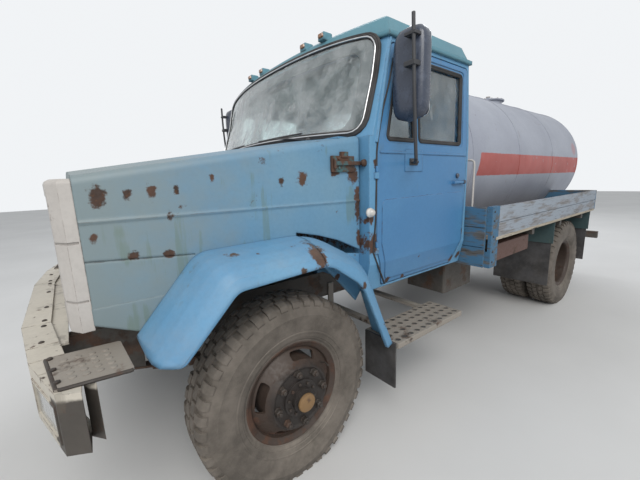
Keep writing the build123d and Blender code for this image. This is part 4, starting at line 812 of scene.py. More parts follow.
class Finishes:
    """Every finish of the truck, by what it is on."""

    bonnet = BonnetPaint("bonnet_blue", (0.095, 0.235, 0.375), (0.150, 0.270, 0.360),
        stain=(0.10, 0.15, 0.09), stain_cover=0.38, rust_cover=0.10,
        spots=HOOD_SPOTS, dust=0.2, soft=0.014)
    arch = Paint("arch_blue", SKY, SKY_FADED, stain_cover=0.2, rust_cover=0.10, spots=FLARE_SPOTS,
        dust=0.28, soft=0.024)
    cab = Paint("cab_blue", SKY, SKY_FADED, stain_cover=0.16, rust_cover=0.06, spots=CAB_SPOTS, dust=0.15,
        soft=0.010)
    door = Paint("door_blue", (0.052, 0.175, 0.355), (0.080, 0.230, 0.410), stain_cover=0.12,
        rust_cover=0.03, spots=DOOR_SPOTS, dust=0.08, gloss=0.30, soft=0.012)
    roof = Paint("roof_teal", (0.075, 0.205, 0.265), (0.11, 0.26, 0.32), stain_cover=0.1, rust_cover=0.05,
        dust=0.18, soft=0.03)
    white = Paint("worn_white", (0.42, 0.395, 0.37), (0.50, 0.475, 0.45), stain=(0.17, 0.13, 0.09),
        stain_cover=0.42, rust_cover=0.13, dust=0.25)
    bumper = BumperPaint("bumper_white", (0.50, 0.465, 0.40), (0.60, 0.56, 0.48),
        stain=(0.10, 0.085, 0.065), stain_cover=0.45, rust_cover=0.20,
        rust_scale=13.0, wear=1.0, dust=0.25)
    tank = BandedPaint("tank_grey", (0.285, 0.305, 0.365), (0.345, 0.370, 0.430), stain=(0.16, 0.14, 0.13),
        stain_cover=0.2, rust_cover=0.02, dust=0.06)
    teal = Paint("dark_teal", (0.028, 0.060, 0.066), (0.045, 0.085, 0.09), stain_cover=0.3, rust_cover=0.2,
        dust=0.22)
    chassis = Steel("chassis_black", left=0.62, dust=0.5)
    rusty = Steel("rusty_steel", paint=(0.10, 0.055, 0.036), left=0.35, dust=0.3)
    # The side box's dark colour is partly its rust and partly painted shade.
    box_rust = Steel("box_rust", paint=(0.085, 0.040, 0.030), left=0.75, dust=0.1)
    wheel = WheelSteel("wheel_rust", paint=(0.042, 0.027, 0.020), left=0.6, dust=0.06)
    nuts = Steel("nut_steel", paint=(0.024, 0.019, 0.016), left=0.7, dust=0.12)
    latch = Steel("latch_teal", paint=(0.035, 0.115, 0.125), left=0.42, dust=0.12)
    cap = Steel("grease_cap", paint=(0.20, 0.115, 0.045), left=0.85, dust=0.12)
    steps = Steel("step_plate", paint=(0.25, 0.225, 0.195), left=0.72, dust=0.35)
    tyre = Rubber("tyre_rubber", colour=(0.058, 0.049, 0.041), dust=0.7)
    flap = Rubber("flap_rubber", colour=(0.022, 0.022, 0.024), dust=0.3, crack=0.2)
    seal = Rubber("seal_rubber", colour=(0.012, 0.012, 0.013), dust=0.22, crack=0.2)
    boards = Wood("side_wood", bare=(0.15, 0.145, 0.14), pale=(0.29, 0.30, 0.325),
        paint=(0.27, 0.31, 0.36), painted=0.55, dust=0.1)
    strip = Wood("strip_wood", bare=(0.30, 0.26, 0.20), pale=(0.42, 0.38, 0.31), painted=0.0, dust=0.1)
    floor = Wood("floor_wood", painted=0.05, bare=(0.10, 0.085, 0.07), pale=(0.22, 0.20, 0.175), dust=0.5)
    ends = Wood("end_wood", bare=(0.06, 0.055, 0.05), paint=(0.045, 0.135, 0.235), painted=0.58,
        along=(22.0, 1.2, 22.0), pale=(0.13, 0.135, 0.14), dust=0.1)
    glass = Glass("clear_glass", film=0.16)
    dusty_glass = Glass("dusty_glass", film=0.5)
    # Opaque dark glass for the windshield's rim: painted shade of the dark interior behind the glass.
    border = Glass("glass_border", tint=(0.085, 0.092, 0.10), film=0.1, clear=0.0)
    mirror_glass = Moulded("mirror_glass", (0.75, 0.78, 0.80), rough=0.05, grain=20.0, metallic=1.0,
        dust=0.1)
    trim = Moulded("bright_trim", (0.62, 0.63, 0.64), rough=0.28, grain=60.0, metallic=1.0, dust=0.15)
    lamp = Lens("lamp_lens", (0.50, 0.52, 0.53), metallic=0.6)
    clear = Lens("white_lens", (0.72, 0.70, 0.66))
    amber = Lens("amber_lens", (0.30, 0.12, 0.04))
    red = Lens("red_lens", (0.42, 0.025, 0.02))
    plastic = Moulded("dark_plastic", (0.028, 0.029, 0.033), rough=0.55)
    vinyl = Moulded("seat_vinyl", (0.06, 0.052, 0.045), rough=0.5, grain=140.0, grain_depth=0.0012)
    shell = Moulded("mirror_shell", (0.040, 0.050, 0.075), rough=0.26, grain=220.0, grain_depth=0.0003,
        dust=0.12)
    engine = Moulded("engine_metal", (0.07, 0.065, 0.06), rough=0.55, grain=40.0, grain_depth=0.004,
        metallic=0.4, dust=0.7)


class Shape:
    """The points and faces of one piece, in metres in the shared frame."""

    def __init__(self) -> None:
        """Starts empty."""
        self.points: list[Vector] = []
        self.faces: list[tuple[int, ...]] = []

    def rings(self, rows: Sequence[Sequence[Vector]], round_row: bool = True, round_trip: bool = False,
              caps: bool = True) -> "Shape":
        """Joins rows of points by four-sided faces.

        Args:
            rows: the rows, all as long.
            round_row: each row is closed on itself.
            round_trip: the last row joins the first.
            caps: the first and last rows are filled.

        Returns:
            This shape.
        """
        start = len(self.points)
        size = len(rows[0])
        for row in rows:
            self.points.extend(row)
        for i in range(len(rows) if round_trip else len(rows) - 1):
            a = start + i * size
            b = start + ((i + 1) % len(rows)) * size
            for j in range(size if round_row else size - 1):
                k = (j + 1) % size
                self.faces.append((a + j, a + k, b + k, b + j))
        if caps and round_row and not round_trip:
            self.faces.append(tuple(range(start, start + size))[::-1])
            last = start + (len(rows) - 1) * size
            self.faces.append(tuple(range(last, last + size)))
        return self

    def block(self, low: Vector, high: Vector) -> "Shape":
        """Adds a box between two corners."""
        plan = ((low.x, low.y), (high.x, low.y), (high.x, high.y), (low.x, high.y))
        return self.rings([[Vector((x, y, z)) for x, y in plan] for z in (low.z, high.z)])

    def lathe(self, centre: Vector, axis: Vector, profile: Sequence[Point2], steps: int = 48,
              phase: float = 0.0) -> "Shape":
        """Turns a profile about an axis.

        Args:
            centre: a point on the axis.
            axis: the axis' direction.
            profile: (distance along the axis, radius) pairs.
            steps: points round the axis.
            phase: turn of the first point in degrees.

        Returns:
            This shape.
        """
        axis = axis.normalized()
        side = UP if abs(axis.z) < 0.9 else Vector((1, 0, 0))
        u = side.cross(axis).normalized()
        v = axis.cross(u)
        rows = []
        for along, radius in profile:
            row = []
            for i in range(steps):
                a = math.radians(phase) + 2 * math.pi * i / steps
                row.append(centre + axis * along + (u * math.cos(a) + v * math.sin(a)) * radius)
            rows.append(row)
        return self.rings(rows)

    def tube(self, path: Sequence[Vector], radius: float, closed: bool = False, sides: int = 10) -> "Shape":
        """Runs a round section along a path.

        Args:
            path: points along its middle.
            radius: the section's radius.
            closed: the path comes back to its start.
            sides: points round the section.

        Returns:
            This shape.
        """
        rows = []
        count = len(path)
        normal: Vector | None = None
        for i, point in enumerate(path):
            before = path[i - 1] if closed or i else path[0]
            after = path[(i + 1) % count] if closed or i < count - 1 else path[-1]
            tangent = (after - before).normalized()
            if normal is None:
                normal = tangent.orthogonal().normalized()
            normal = (normal - tangent * normal.dot(tangent)).normalized()
            across = tangent.cross(normal)
            ring = [2 * math.pi * k / sides for k in range(sides)]
            rows.append([point + (normal * math.cos(a) + across * math.sin(a)) * radius for a in ring])
        if closed:
            return self._closed_tube(rows)
        return self.rings(rows)

    def _closed_tube(self, rows: list[list[Vector]]) -> "Shape":
        """Joins a tube's last ring to the first at the turn that fits best.

        Args:
            rows: the rings along the tube.

        Returns:
            This shape.
        """
        first, last = rows[0], rows[-1]
        shift = min(range(len(first)), key=lambda s: (first[s] - last[0]).length)
        rows.append(first[shift:] + first[:shift])
        return self.rings(rows, caps=False)

    def piece(self, name: str, finish: Finish, body: str, slot: str, bevel: float = 0.0,
              sharp: float = 35.0) -> bpy.types.Object:
        """Makes the mesh object, dresses it and lets it ride on its body.

        Args:
            name: the piece's name.
            finish: what it is made of.
            body: the body it moves with.
            slot: the record's material slot, not used.
            bevel: width of its rounded edges.
            sharp: angle in degrees above which an edge stays sharp.

        Returns:
            The object.
        """
        mesh = bpy.data.meshes.new(name)
        mesh.from_pydata([tuple(p) for p in self.points], [], self.faces)
        work = bmesh.new()
        work.from_mesh(mesh)
        bmesh.ops.remove_doubles(work, verts=work.verts, dist=1e-6)
        bmesh.ops.recalc_face_normals(work, faces=work.faces)
        for edge in work.edges:
            edge.smooth = len(edge.link_faces) == 2 and edge.calc_face_angle(0.0) < math.radians(sharp)
        for face in work.faces:
            face.smooth = True
        work.to_mesh(mesh)
        work.free()
        thing = bpy.data.objects.new(name, mesh)
        bpy.context.scene.collection.objects.link(thing)
        mesh.materials.append(finish.material())
        if bevel:
            rounding = thing.modifiers.new("rounding", "BEVEL")
            rounding.width = bevel
            rounding.segments = 2
            rounding.angle_limit = math.radians(40)
            rounding.harden_normals = True
        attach(thing, body)
        LOG.info("piece %s: %d faces on %s", name, len(mesh.polygons), body)
        return thing


def rounded(corners: Sequence[Point2], radius: float, steps: int = 6) -> list[Point2]:
    """A closed outline with its corners rounded.

    Args:
        corners: the sharp outline.
        radius: the corner radius.
        steps: points on each corner.

    Returns:
        The points round the outline.
    """
    points = []
    count = len(corners)
    for i, corner in enumerate(corners):
        c = Vector(corner)
        a = (Vector(corners[i - 1]) - c).normalized()
        b = (Vector(corners[(i + 1) % count]) - c).normalized()
        half = a.angle(b) / 2
        reach = radius / math.tan(half)
        centre = c + (a + b).normalized() * (radius / math.sin(half))
        start, end = c + a * reach - centre, c + b * reach - centre
        turn = start.angle_signed(end)
        for k in range(steps + 1):
            step = start.copy()
            step.rotate(Matrix.Rotation(-turn * k / steps, 2))
            points.append(tuple(centre + step))
    return points


def shifted(points: Sequence[Point2], out: float) -> list[Point2]:
    """A closed outline moved outward by a distance, or inward by a negative one.

    Args:
        points: the outline.
        out: metres outward.

    Returns:
        The moved outline.
    """
    area = sum(a[0] * b[1] - b[0] * a[1] for a, b in zip(points, [*points[1:], points[0]]))
    sign = 1.0 if area > 0 else -1.0
    moved = []
    count = len(points)
    for i, point in enumerate(points):
        tangent = (Vector(points[(i + 1) % count]) - Vector(points[i - 1])).normalized()
        moved.append((point[0] + tangent.y * out * sign, point[1] - tangent.x * out * sign))
    return moved


@dataclass
class CabForm:
    """The cab's slanted part as the frame has it: its foot and top, and its plan at both."""

    low_z: float = 1.8
    high_z: float = 2.35
    half: Point2 = (1.064, 1.036)
    corner: Point2 = (-0.575, -0.740)
    centre: Point2 = (-0.410, -0.615)
    rear_x: float = -1.625

    def share(self, z: float) -> float:
        """How far z is up the slanted part."""
        return (z - self.low_z) / (self.high_z - self.low_z)

    def side_y(self, z: float) -> float:
        """The side's outer y at a height."""
        t = max(self.share(z), 0.0)
        return self.half[0] + (self.half[1] - self.half[0]) * t

    def front_x(self, y: float, z: float) -> float:
        """The windshield surface's x at a place.

        Args:
            y: metres to the driver's side.
            z: metres above the ground.

        Returns:
            Metres ahead of the front axle.
        """
        t = self.share(z)
        half, corner, centre = (a + (b - a) * t for a, b in (self.half, self.corner, self.centre))
        sagitta = centre - corner
        radius = (half * half + sagitta * sagitta) / (2 * sagitta)
        return centre - (radius - math.sqrt(radius * radius - y * y))


CAB = CabForm()


def ramp(value: float, start: float, over: float) -> float:
    """How far a value is past the start, from 0 to 1."""
    return min(max((value - start) / over, 0.0), 1.0)


@dataclass
class Glazing:
    """The windshield's pane and rim, the rubber seals round every pane, and the bright strip."""

    opening: tuple[Point2, ...] = ((-0.915, 1.845), (0.915, 1.845), (0.905, 2.310), (-0.905, 2.310))
    screen: tuple[Point2, ...] = ((-1.002, 1.822), (1.002, 1.822), (0.995, 2.358), (-0.995, 2.358))
    screen_radius: float = 0.085
    crown: float = 0.052
    crown_from: float = 2.2
    crown_over: float = 0.15
    foot_crown: float = 0.030
    foot_from: float = 1.9
    foot_over: float = 0.08
    lean_from: float = 2.10
    lean_over: float = 0.25
    roof_zs: tuple[float, ...] = (2.36, 2.38, 2.40, 2.42, 2.44)
    ray_from: float = 6.0
    roof: BVHTree | None = None
    border_inset: float = 0.012
    border_half: float = 0.003
    pane_middle_z: float = 2.09
    pane_lifts: Point2 = (0.006, 0.0085)
    pane_shares: tuple[float, ...] = (0.04, 0.2, 0.4, 0.6, 0.8, 0.9, 1.0)
    screen_beads: tuple[Point2, ...] = ((0.014, 0.004), (0.004, 0.009), (-0.007, 0.005))
    strip_place: Point2 = (-0.002, 0.018)
    rear: tuple[Point2, ...] = ((-0.560, 1.800), (0.560, 1.800), (0.550, 2.220), (-0.550, 2.220))
    rear_radius: float = 0.060
    rear_beads: Point2 = (0.006, -0.005)
    rear_lift: float = 0.002
    quarter: tuple[Point2, ...] = ((-0.700, 1.790), (-0.962, 1.790), (-0.962, 2.262), (-0.822, 2.262))
    main: tuple[Point2, ...] = ((-1.012, 1.790), (-1.505, 1.790), (-1.530, 2.262), (-1.012, 2.262))
    pane_radius: float = 0.022
    pane_depth: float = 0.006
    door_beads: tuple[Point2, ...] = ((0.004, 0.0), (-0.006, -0.004))
    door_bead_share: float = 0.82
    seal_radius: float = 0.011
    trim_radius: float = 0.0045

    def dense(self, outline: Sequence[Point2], gap: float = 0.04) -> list[Point2]:
        """The outline with points added on its long runs.

        Args:
            outline: the closed outline.
            gap: about the most metres between two points.

        Returns:
            The points.
        """
        points = []
        for a, b in zip(outline, [*outline[1:], outline[0]]):
            count = max(1, round(math.dist(a, b) / gap))
            for k in range(count):
                points.append((a[0] + (b[0] - a[0]) * k / count, a[1] + (b[1] - a[1]) * k / count))
        return points

    def even(self, outline: Sequence[Point2], count: int = 160) -> list[Point2]:
        """The outline as so many points at even distances.

        Args:
            outline: the closed outline.
            count: how many points.

        Returns:
            The points.
        """
        ends = [*outline[1:], outline[0]]
        lengths = [math.dist(a, b) for a, b in zip(outline, ends)]
        points = []
        for k in range(count):
            rest, i = sum(lengths) * k / count, 0
            while rest > lengths[i]:
                rest -= lengths[i]
                i += 1
            share = rest / lengths[i]
            points.append(tuple(outline[i][n] + (ends[i][n] - outline[i][n]) * share for n in (0, 1)))
        return points

    def lead(self, y: float) -> float:
        """How far the roof's front stands ahead of the windshield's surface at a place across.

        Args:
            y: metres to the driver's side.

        Returns:
            The distance in metres, or 0.
        """
        if self.roof is None:
            mesh = frame["nodes"]["cab_roof"].data
            corners = [v.co for v in mesh.vertices]
            self.roof = BVHTree.FromPolygons(corners, [tuple(p.vertices) for p in mesh.polygons])
        most = 0.0
        for z in self.roof_zs:
            hit = self.roof.ray_cast(Vector((self.ray_from, y, z)), Vector((-1, 0, 0)))[0]
            if hit is not None:
                most = max(most, hit.x - AXLE_X - CAB.front_x(y, z))
        return most

    def surface(self, y: float, z: float, lift: float) -> Vector:
        """A point of the pane's outer surface, which leans out to cover the roof's front at its top."""
        share = ramp(z, self.lean_from, self.lean_over)
        return at(CAB.front_x(y, z) + self.lead(y) * share * share * (3.0 - 2.0 * share) + lift, y, z)

    def screen_outline(self) -> list[Point2]:
        """The seal's line: straight at the sides, with a crowned top and foot.

        Returns:
            Its (y, z) points.
        """
        crowned = []
        for y, z in self.even(rounded(self.screen, self.screen_radius)):
            high = ramp(z, self.crown_from, self.crown_over)
            low = ramp(-z, -self.foot_from, self.foot_over)
            crown = self.crown * (1.0 - y ** 4) * high + self.foot_crown * (1.0 - y * y) * low
            crowned.append((y, z + crown))
        return crowned

    def screen_border(self) -> None:
        """The dark rim between the cab's opening and the broad seal: painted shade of the dark behind the
        glass's edge.
        """
        inner = self.even(shifted(rounded(self.opening, self.screen_radius), -self.border_inset))
        outer = self.screen_outline()
        rows = []
        for outline, lift in ((outer, -1), (outer, 1), (inner, 1), (inner, -1)):
            rows.append([self.surface(y, z, lift * self.border_half) for y, z in outline])
        border = Shape().rings(rows, round_trip=True)
        border.piece("windshield_border", Finishes.border, "chassis", "flap_rubber")

    def screen_pane(self) -> None:
        """One pane with the dust on it, over the opening and its dark rim."""
        outer = self.screen_outline()
        middle = self.pane_middle_z
        rows = []
        for lift, shares in zip(self.pane_lifts, (self.pane_shares, self.pane_shares[::-1])):
            for share in shares:
                drawn = [(y * share, middle + (z - middle) * share) for y, z in outer]
                rows.append([self.surface(y, z, lift) for y, z in drawn])
        pane = Shape().rings(rows)
        pane.piece("windshield_pane", Finishes.dusty_glass, "chassis", "glass_clear", sharp=50.0)

    def screen_seal(self) -> None:
        """The windshield's broad seal and its bright strip."""
        outline = self.screen_outline()
        seal = Shape()
        for out, lift in self.screen_beads:
            path = [self.surface(y, z, lift) for y, z in shifted(outline, out)]
            seal.tube(path, self.seal_radius, closed=True, sides=8)
        seal.piece("windshield_seal", Finishes.seal, "chassis", "flap_rubber")
        out, lift = self.strip_place
        path = [self.surface(y, z, lift) for y, z in shifted(outline, out)]
        strip = Shape().tube(path, self.trim_radius, closed=True, sides=8)
        strip.piece("windshield_strip", Finishes.trim, "chassis", "bumper_paint")

    def rear_seal(self) -> None:
        """The rear window's seal."""
        outline = self.dense(rounded(self.rear, self.rear_radius))
        seal = Shape()
        for out in self.rear_beads:
            path = [at(CAB.rear_x - self.rear_lift, y, z) for y, z in shifted(outline, out)]
            seal.tube(path, self.seal_radius, closed=True, sides=8)
        seal.piece("rear_window_seal", Finishes.seal, "chassis", "flap_rubber")

    def door_seals(self, side: Side) -> None:
        """The seals of one door's two panes.

        Args:
            side: which side.
        """
        seal = Shape()
        for corners in (self.quarter, self.main):
            outline = self.dense(rounded(corners, self.pane_radius))
            for out, lift in self.door_beads:
                path = []
                for x, z in shifted(outline, out):
                    path.append(at(x, side.value * (CAB.side_y(z) - self.pane_depth + lift), z))
                seal.tube(path, self.seal_radius * self.door_bead_share, closed=True, sides=8)
        seal.piece(f"door_seals_{side.word}", Finishes.seal, f"door_{side.word}_body", "flap_rubber")

    def build(self) -> None:
        """Makes the windshield's rim and pane, and every seal."""
        self.screen_border()
        self.screen_pane()
        self.screen_seal()
        self.rear_seal()
        for side in Side:
            self.door_seals(side)


@dataclass
class Wiper:
    """One wiper, parked along the foot of the windshield: its arm, its boss and its blade."""

    name: str
    pivot_y: float
    tip_y: float
    foot_z: float = 1.822
    tip_z: float = 1.865
    stand: float = 0.028
    steps: int = 8
    arm_radius: float = 0.005
    boss_shift: Point3 = (0.03, 0, 0.012)
    boss_axis: Point3 = (1, 0, 0.45)
    boss: tuple[Point2, ...] = ((0, 0.018), (0.03, 0.016), (0.042, 0.010))
    blade_half: float = 0.26
    blade_rise: float = 0.005
    blade_lift: float = 0.012
    blade_radius: float = 0.006

    def arm(self) -> list[Vector]:
        """The bowed line of the arm.

        Returns:
            The points from its pivot on.
        """
        path = []
        for k in range(self.steps + 1):
            t = k / self.steps
            y = self.pivot_y + (self.tip_y - self.pivot_y) * t
            z = self.foot_z + (self.tip_z - self.foot_z) * t
            path.append(at(CAB.front_x(y, z) + self.stand * (0.6 + 0.4 * math.sin(math.pi * t)), y, z))
        return path

    def build(self) -> None:
        """Makes the wiper as one piece."""
        path = self.arm()
        shape = Shape().tube(path, self.arm_radius, sides=6)
        shape.lathe(path[0] - Vector(self.boss_shift), Vector(self.boss_axis), self.boss, 16)
        z = self.tip_z + self.blade_rise
        blade = []
        for k in range(self.steps + 1):
            y = self.tip_y - self.blade_half + 2 * self.blade_half * k / self.steps
            blade.append(at(CAB.front_x(y, z) + self.blade_lift, y, z))
        shape.tube(blade, self.blade_radius, sides=6)
        shape.piece(self.name, Finishes.plastic, "chassis", "interior_plastic")


@dataclass
class Tyre:
    """One tyre of a wheel: its section, its shoulder and centre blocks, and how soft it stands."""

    centre: Vector
    soft: float = 0.0
    reach: float = 0.175
    belly: float = 1.2
    lowest: float = 0.001
    steps: int = 96
    pitch_count: int = 44
    section: tuple[Point2, ...] = (
        (0.088, 0.262), (0.098, 0.273), (0.101, 0.286), (0.111, 0.297), (0.1125, 0.303), (0.117, 0.306),
        (0.1215, 0.326), (0.1245, 0.329), (0.1250, 0.336), (0.1232, 0.339), (0.1275, 0.362), (0.129, 0.392),
        (0.1275, 0.420), (0.1285, 0.424), (0.1265, 0.429), (0.122, 0.452), (0.113, 0.474), (0.104, 0.4875),
        (0.092, 0.4925), (0.046, 0.4955),
    )
    shoulder: tuple[Point2, ...] = (
        (0.060, 0.492), (0.060, 0.5085), (0.094, 0.506), (0.112, 0.496), (0.1205, 0.474), (0.117, 0.464),
        (0.100, 0.480),
    )
    shoulder_width: float = 0.58
    rib: tuple[Point2, ...] = ((0.008, 0.494), (0.009, 0.509), (0.048, 0.5085), (0.050, 0.492))
    rib_width: float = 0.80
    rib_skew: float = 0.22
    block_steps: int = 2

    def settle(self, point: Vector) -> Vector:
        """Presses a point of the tyre against the ground and bulges it near there.

        Args:
            point: a point of the tyre without load.

        Returns:
            Its place under load.
        """
        near = max(0.0, 1.0 - max(point.z, 0.0) / self.reach)
        bulge = self.soft * near * near * (1.0 + self.belly * math.sin(min(near, 1.0) * math.pi))
        y = self.centre.y + (point.y - self.centre.y) * (1.0 + bulge)
        return Vector((point.x, y, max(point.z, self.lowest)))

    def around(self, across: float, radius: float, turn: float) -> Vector:
        """A point of the tyre from its place across, its radius and its turn from the foot."""
        return self.centre + Vector((radius * math.sin(turn), across, -radius * math.cos(turn)))

    def carcass(self, shape: Shape) -> None:
        """Adds the tyre's body, without its tread blocks.

        Args:
            shape: the shape to add to.
        """
        full = [*self.section, *[(-w, r) for w, r in reversed(self.section)]]
        rows = []
        for i in range(self.steps):
            turn = 2 * math.pi * i / self.steps
            rows.append([self.settle(self.around(w, r, turn)) for w, r in full])
        shape.rings(rows, round_trip=True)

    def block(self, shape: Shape, outline: Sequence[Point2], sign: int, start: float,
              length: float) -> None:
        """Adds one tread block.

        Args:
            shape: the shape to add to.
            outline: (across, radius) pairs of its section.
            sign: 1 or -1, the half of the tread.
            start: turn of its start from the foot.
            length: turn that it covers.
        """
        rows = []
        for k in range(self.block_steps + 1):
            turn = start + length * k / self.block_steps
            rows.append([self.settle(self.around(sign * w, r, turn)) for w, r in outline])
        shape.rings(rows)

    def add_to(self, shape: Shape) -> None:
        """Adds carcass and blocks to a shape.

        Args:
            shape: the shape to add to.
        """
        self.carcass(shape)
        pitch = 2 * math.pi / self.pitch_count
        kinds = ((self.shoulder, self.shoulder_width, 0.0), (self.rib, self.rib_width, self.rib_skew))
        for i in range(self.pitch_count):
            for sign, lag in ((1, 0.0), (-1, 0.5)):
                for outline, width, skew in kinds:
                    self.block(shape, outline, sign, (i + lag + skew) * pitch, pitch * width)


@dataclass
class Wheels:
    """All tyres, with the wheel nuts, the hub caps and the hub bolts."""

    front_z: float = 0.475
    rear_z: float = 0.490
    front_y: float = 0.943
    rear_ys: Point2 = (1.073, 0.780)
    front_soft: float = 0.135
    rear_soft: float = 0.03
    seat_out: float = 0.1465
    nut_circle: float = 0.1375
    nut_count: int = 8
    nut_phase: float = 6.0
    disc: float = 0.010
    bolt_circle: float = 0.079
    bolt_count: int = 10
    bolt_seat: float = 0.012
    valve_radius: float = 0.0045
    valve_line: tuple[Point3, ...] = ((-0.16, -0.03, 0.12), (-0.168, 0.0, 0.126), (-0.165, 0.03, 0.124))
    nut: tuple[Point2, ...] = (
        (-0.001, 0.0225), (0.004, 0.0225), (0.005, 0.0195), (0.024, 0.0195), (0.027, 0.0165),
    )
    stud: tuple[Point2, ...] = ((0.020, 0.0105), (0.036, 0.0105), (0.038, 0.0085))
    bolt: tuple[Point2, ...] = ((-0.001, 0.0085), (0.008, 0.0085), (0.009, 0.0070))
    dome: tuple[Point2, ...] = (
        (0.052, 0.0478), (0.060, 0.0482), (0.0645, 0.046), (0.068, 0.036), (0.070, 0.022), (0.071, 0.008),
    )

    def tyres(self, side: Side) -> None:
        """One side's front tyre and rear pair, in place of their solids.

        Args:
            side: which side.
        """
        shape = Shape()
        Tyre(at(0.0, side.value * self.front_y, self.front_z), soft=self.front_soft).add_to(shape)
        body = f"front_wheel_{side.word}"
        front = shape.piece(f"soft_tyre_{side.word}", Finishes.tyre, body, "tyre_rubber", sharp=28.0)
        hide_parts(f"front_tyre_{side.word}")
        pair = Shape()
        for y in self.rear_ys:
            Tyre(Vector((REAR_AXLE_X, side.value * y, self.rear_z)), soft=self.rear_soft).add_to(pair)
        body = f"rear_wheel_{side.word}"
        rear = pair.piece(f"twin_tyres_{side.word}", Finishes.tyre, body, "tyre_rubber", sharp=28.0)
        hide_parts(f"rear_tyres_{side.word}")

    def ring_of(self, shape: Shape, hub: Vector, out: Vector, circle: float, count: int,
                profile: Sequence[Point2], steps: int) -> None:
        """Adds a ring of nuts or bolts round a hub.

        Args:
            shape: the shape to add to.
            hub: the hub's centre.
            out: the direction outward.
            circle: the ring's radius.
            count: how many there are.
            profile: (distance outward, radius) pairs of one.
            steps: points round each.
        """
        for i in range(count):
            a = math.radians(self.nut_phase + 360.0 * i / count)
            centre = hub + Vector((circle * math.sin(a), 0, circle * math.cos(a)))
            shape.lathe(centre, out, profile, steps, phase=17.0 * i)

    def nuts(self, body: str, hub: Vector, out: Vector) -> None:
        """The nuts, studs and valve of one wheel.

        Args:
            body: the body that it moves with.
            hub: the hub's centre.
            out: the direction outward.
        """
        nuts = Shape()
        self.ring_of(nuts, hub, out, self.nut_circle, self.nut_count, self.nut, 6)
        self.ring_of(nuts, hub, out, self.nut_circle, self.nut_count, self.stud, 10)
        nuts.piece(f"nuts_{body}", Finishes.nuts, body, "rusty_steel")
        valve = [hub + Vector((x, out.y * y, z)) for x, y, z in self.valve_line]
        stem = Shape().tube(valve, self.valve_radius, sides=8)
        stem.piece(f"valve_{body}", Finishes.nuts, body, "rusty_steel")

    def hub(self, side: Side) -> None:
        """The nuts and hub dressing of one side's wheels.

        Args:
            side: which side.
        """
        s = side.value
        out = Vector((0, s, 0))
        front = f"front_wheel_{side.word}"
        hub = at(0.0, s * (self.front_y + self.seat_out), self.front_z)
        self.nuts(front, hub, out)
        rear_hub = Vector((REAR_AXLE_X, s * (self.rear_ys[0] - self.seat_out + self.disc), self.rear_z))
        self.nuts(f"rear_wheel_{side.word}", rear_hub, out)
        cap = Shape().lathe(hub, out, self.dome, 40)
        cap.piece(f"grease_cap_{side.word}", Finishes.cap, front, "wheel_rust")
        bolts = Shape()
        seat = hub + out * self.bolt_seat
        self.ring_of(bolts, seat, out, self.bolt_circle, self.bolt_count, self.bolt, 6)
        bolts.piece(f"hub_bolts_{side.word}", Finishes.nuts, front, "rusty_steel")

    def build(self) -> None:
        """Makes the tyres and the hub dressing of both sides."""
        for side in Side:
            self.tyres(side)
            self.hub(side)


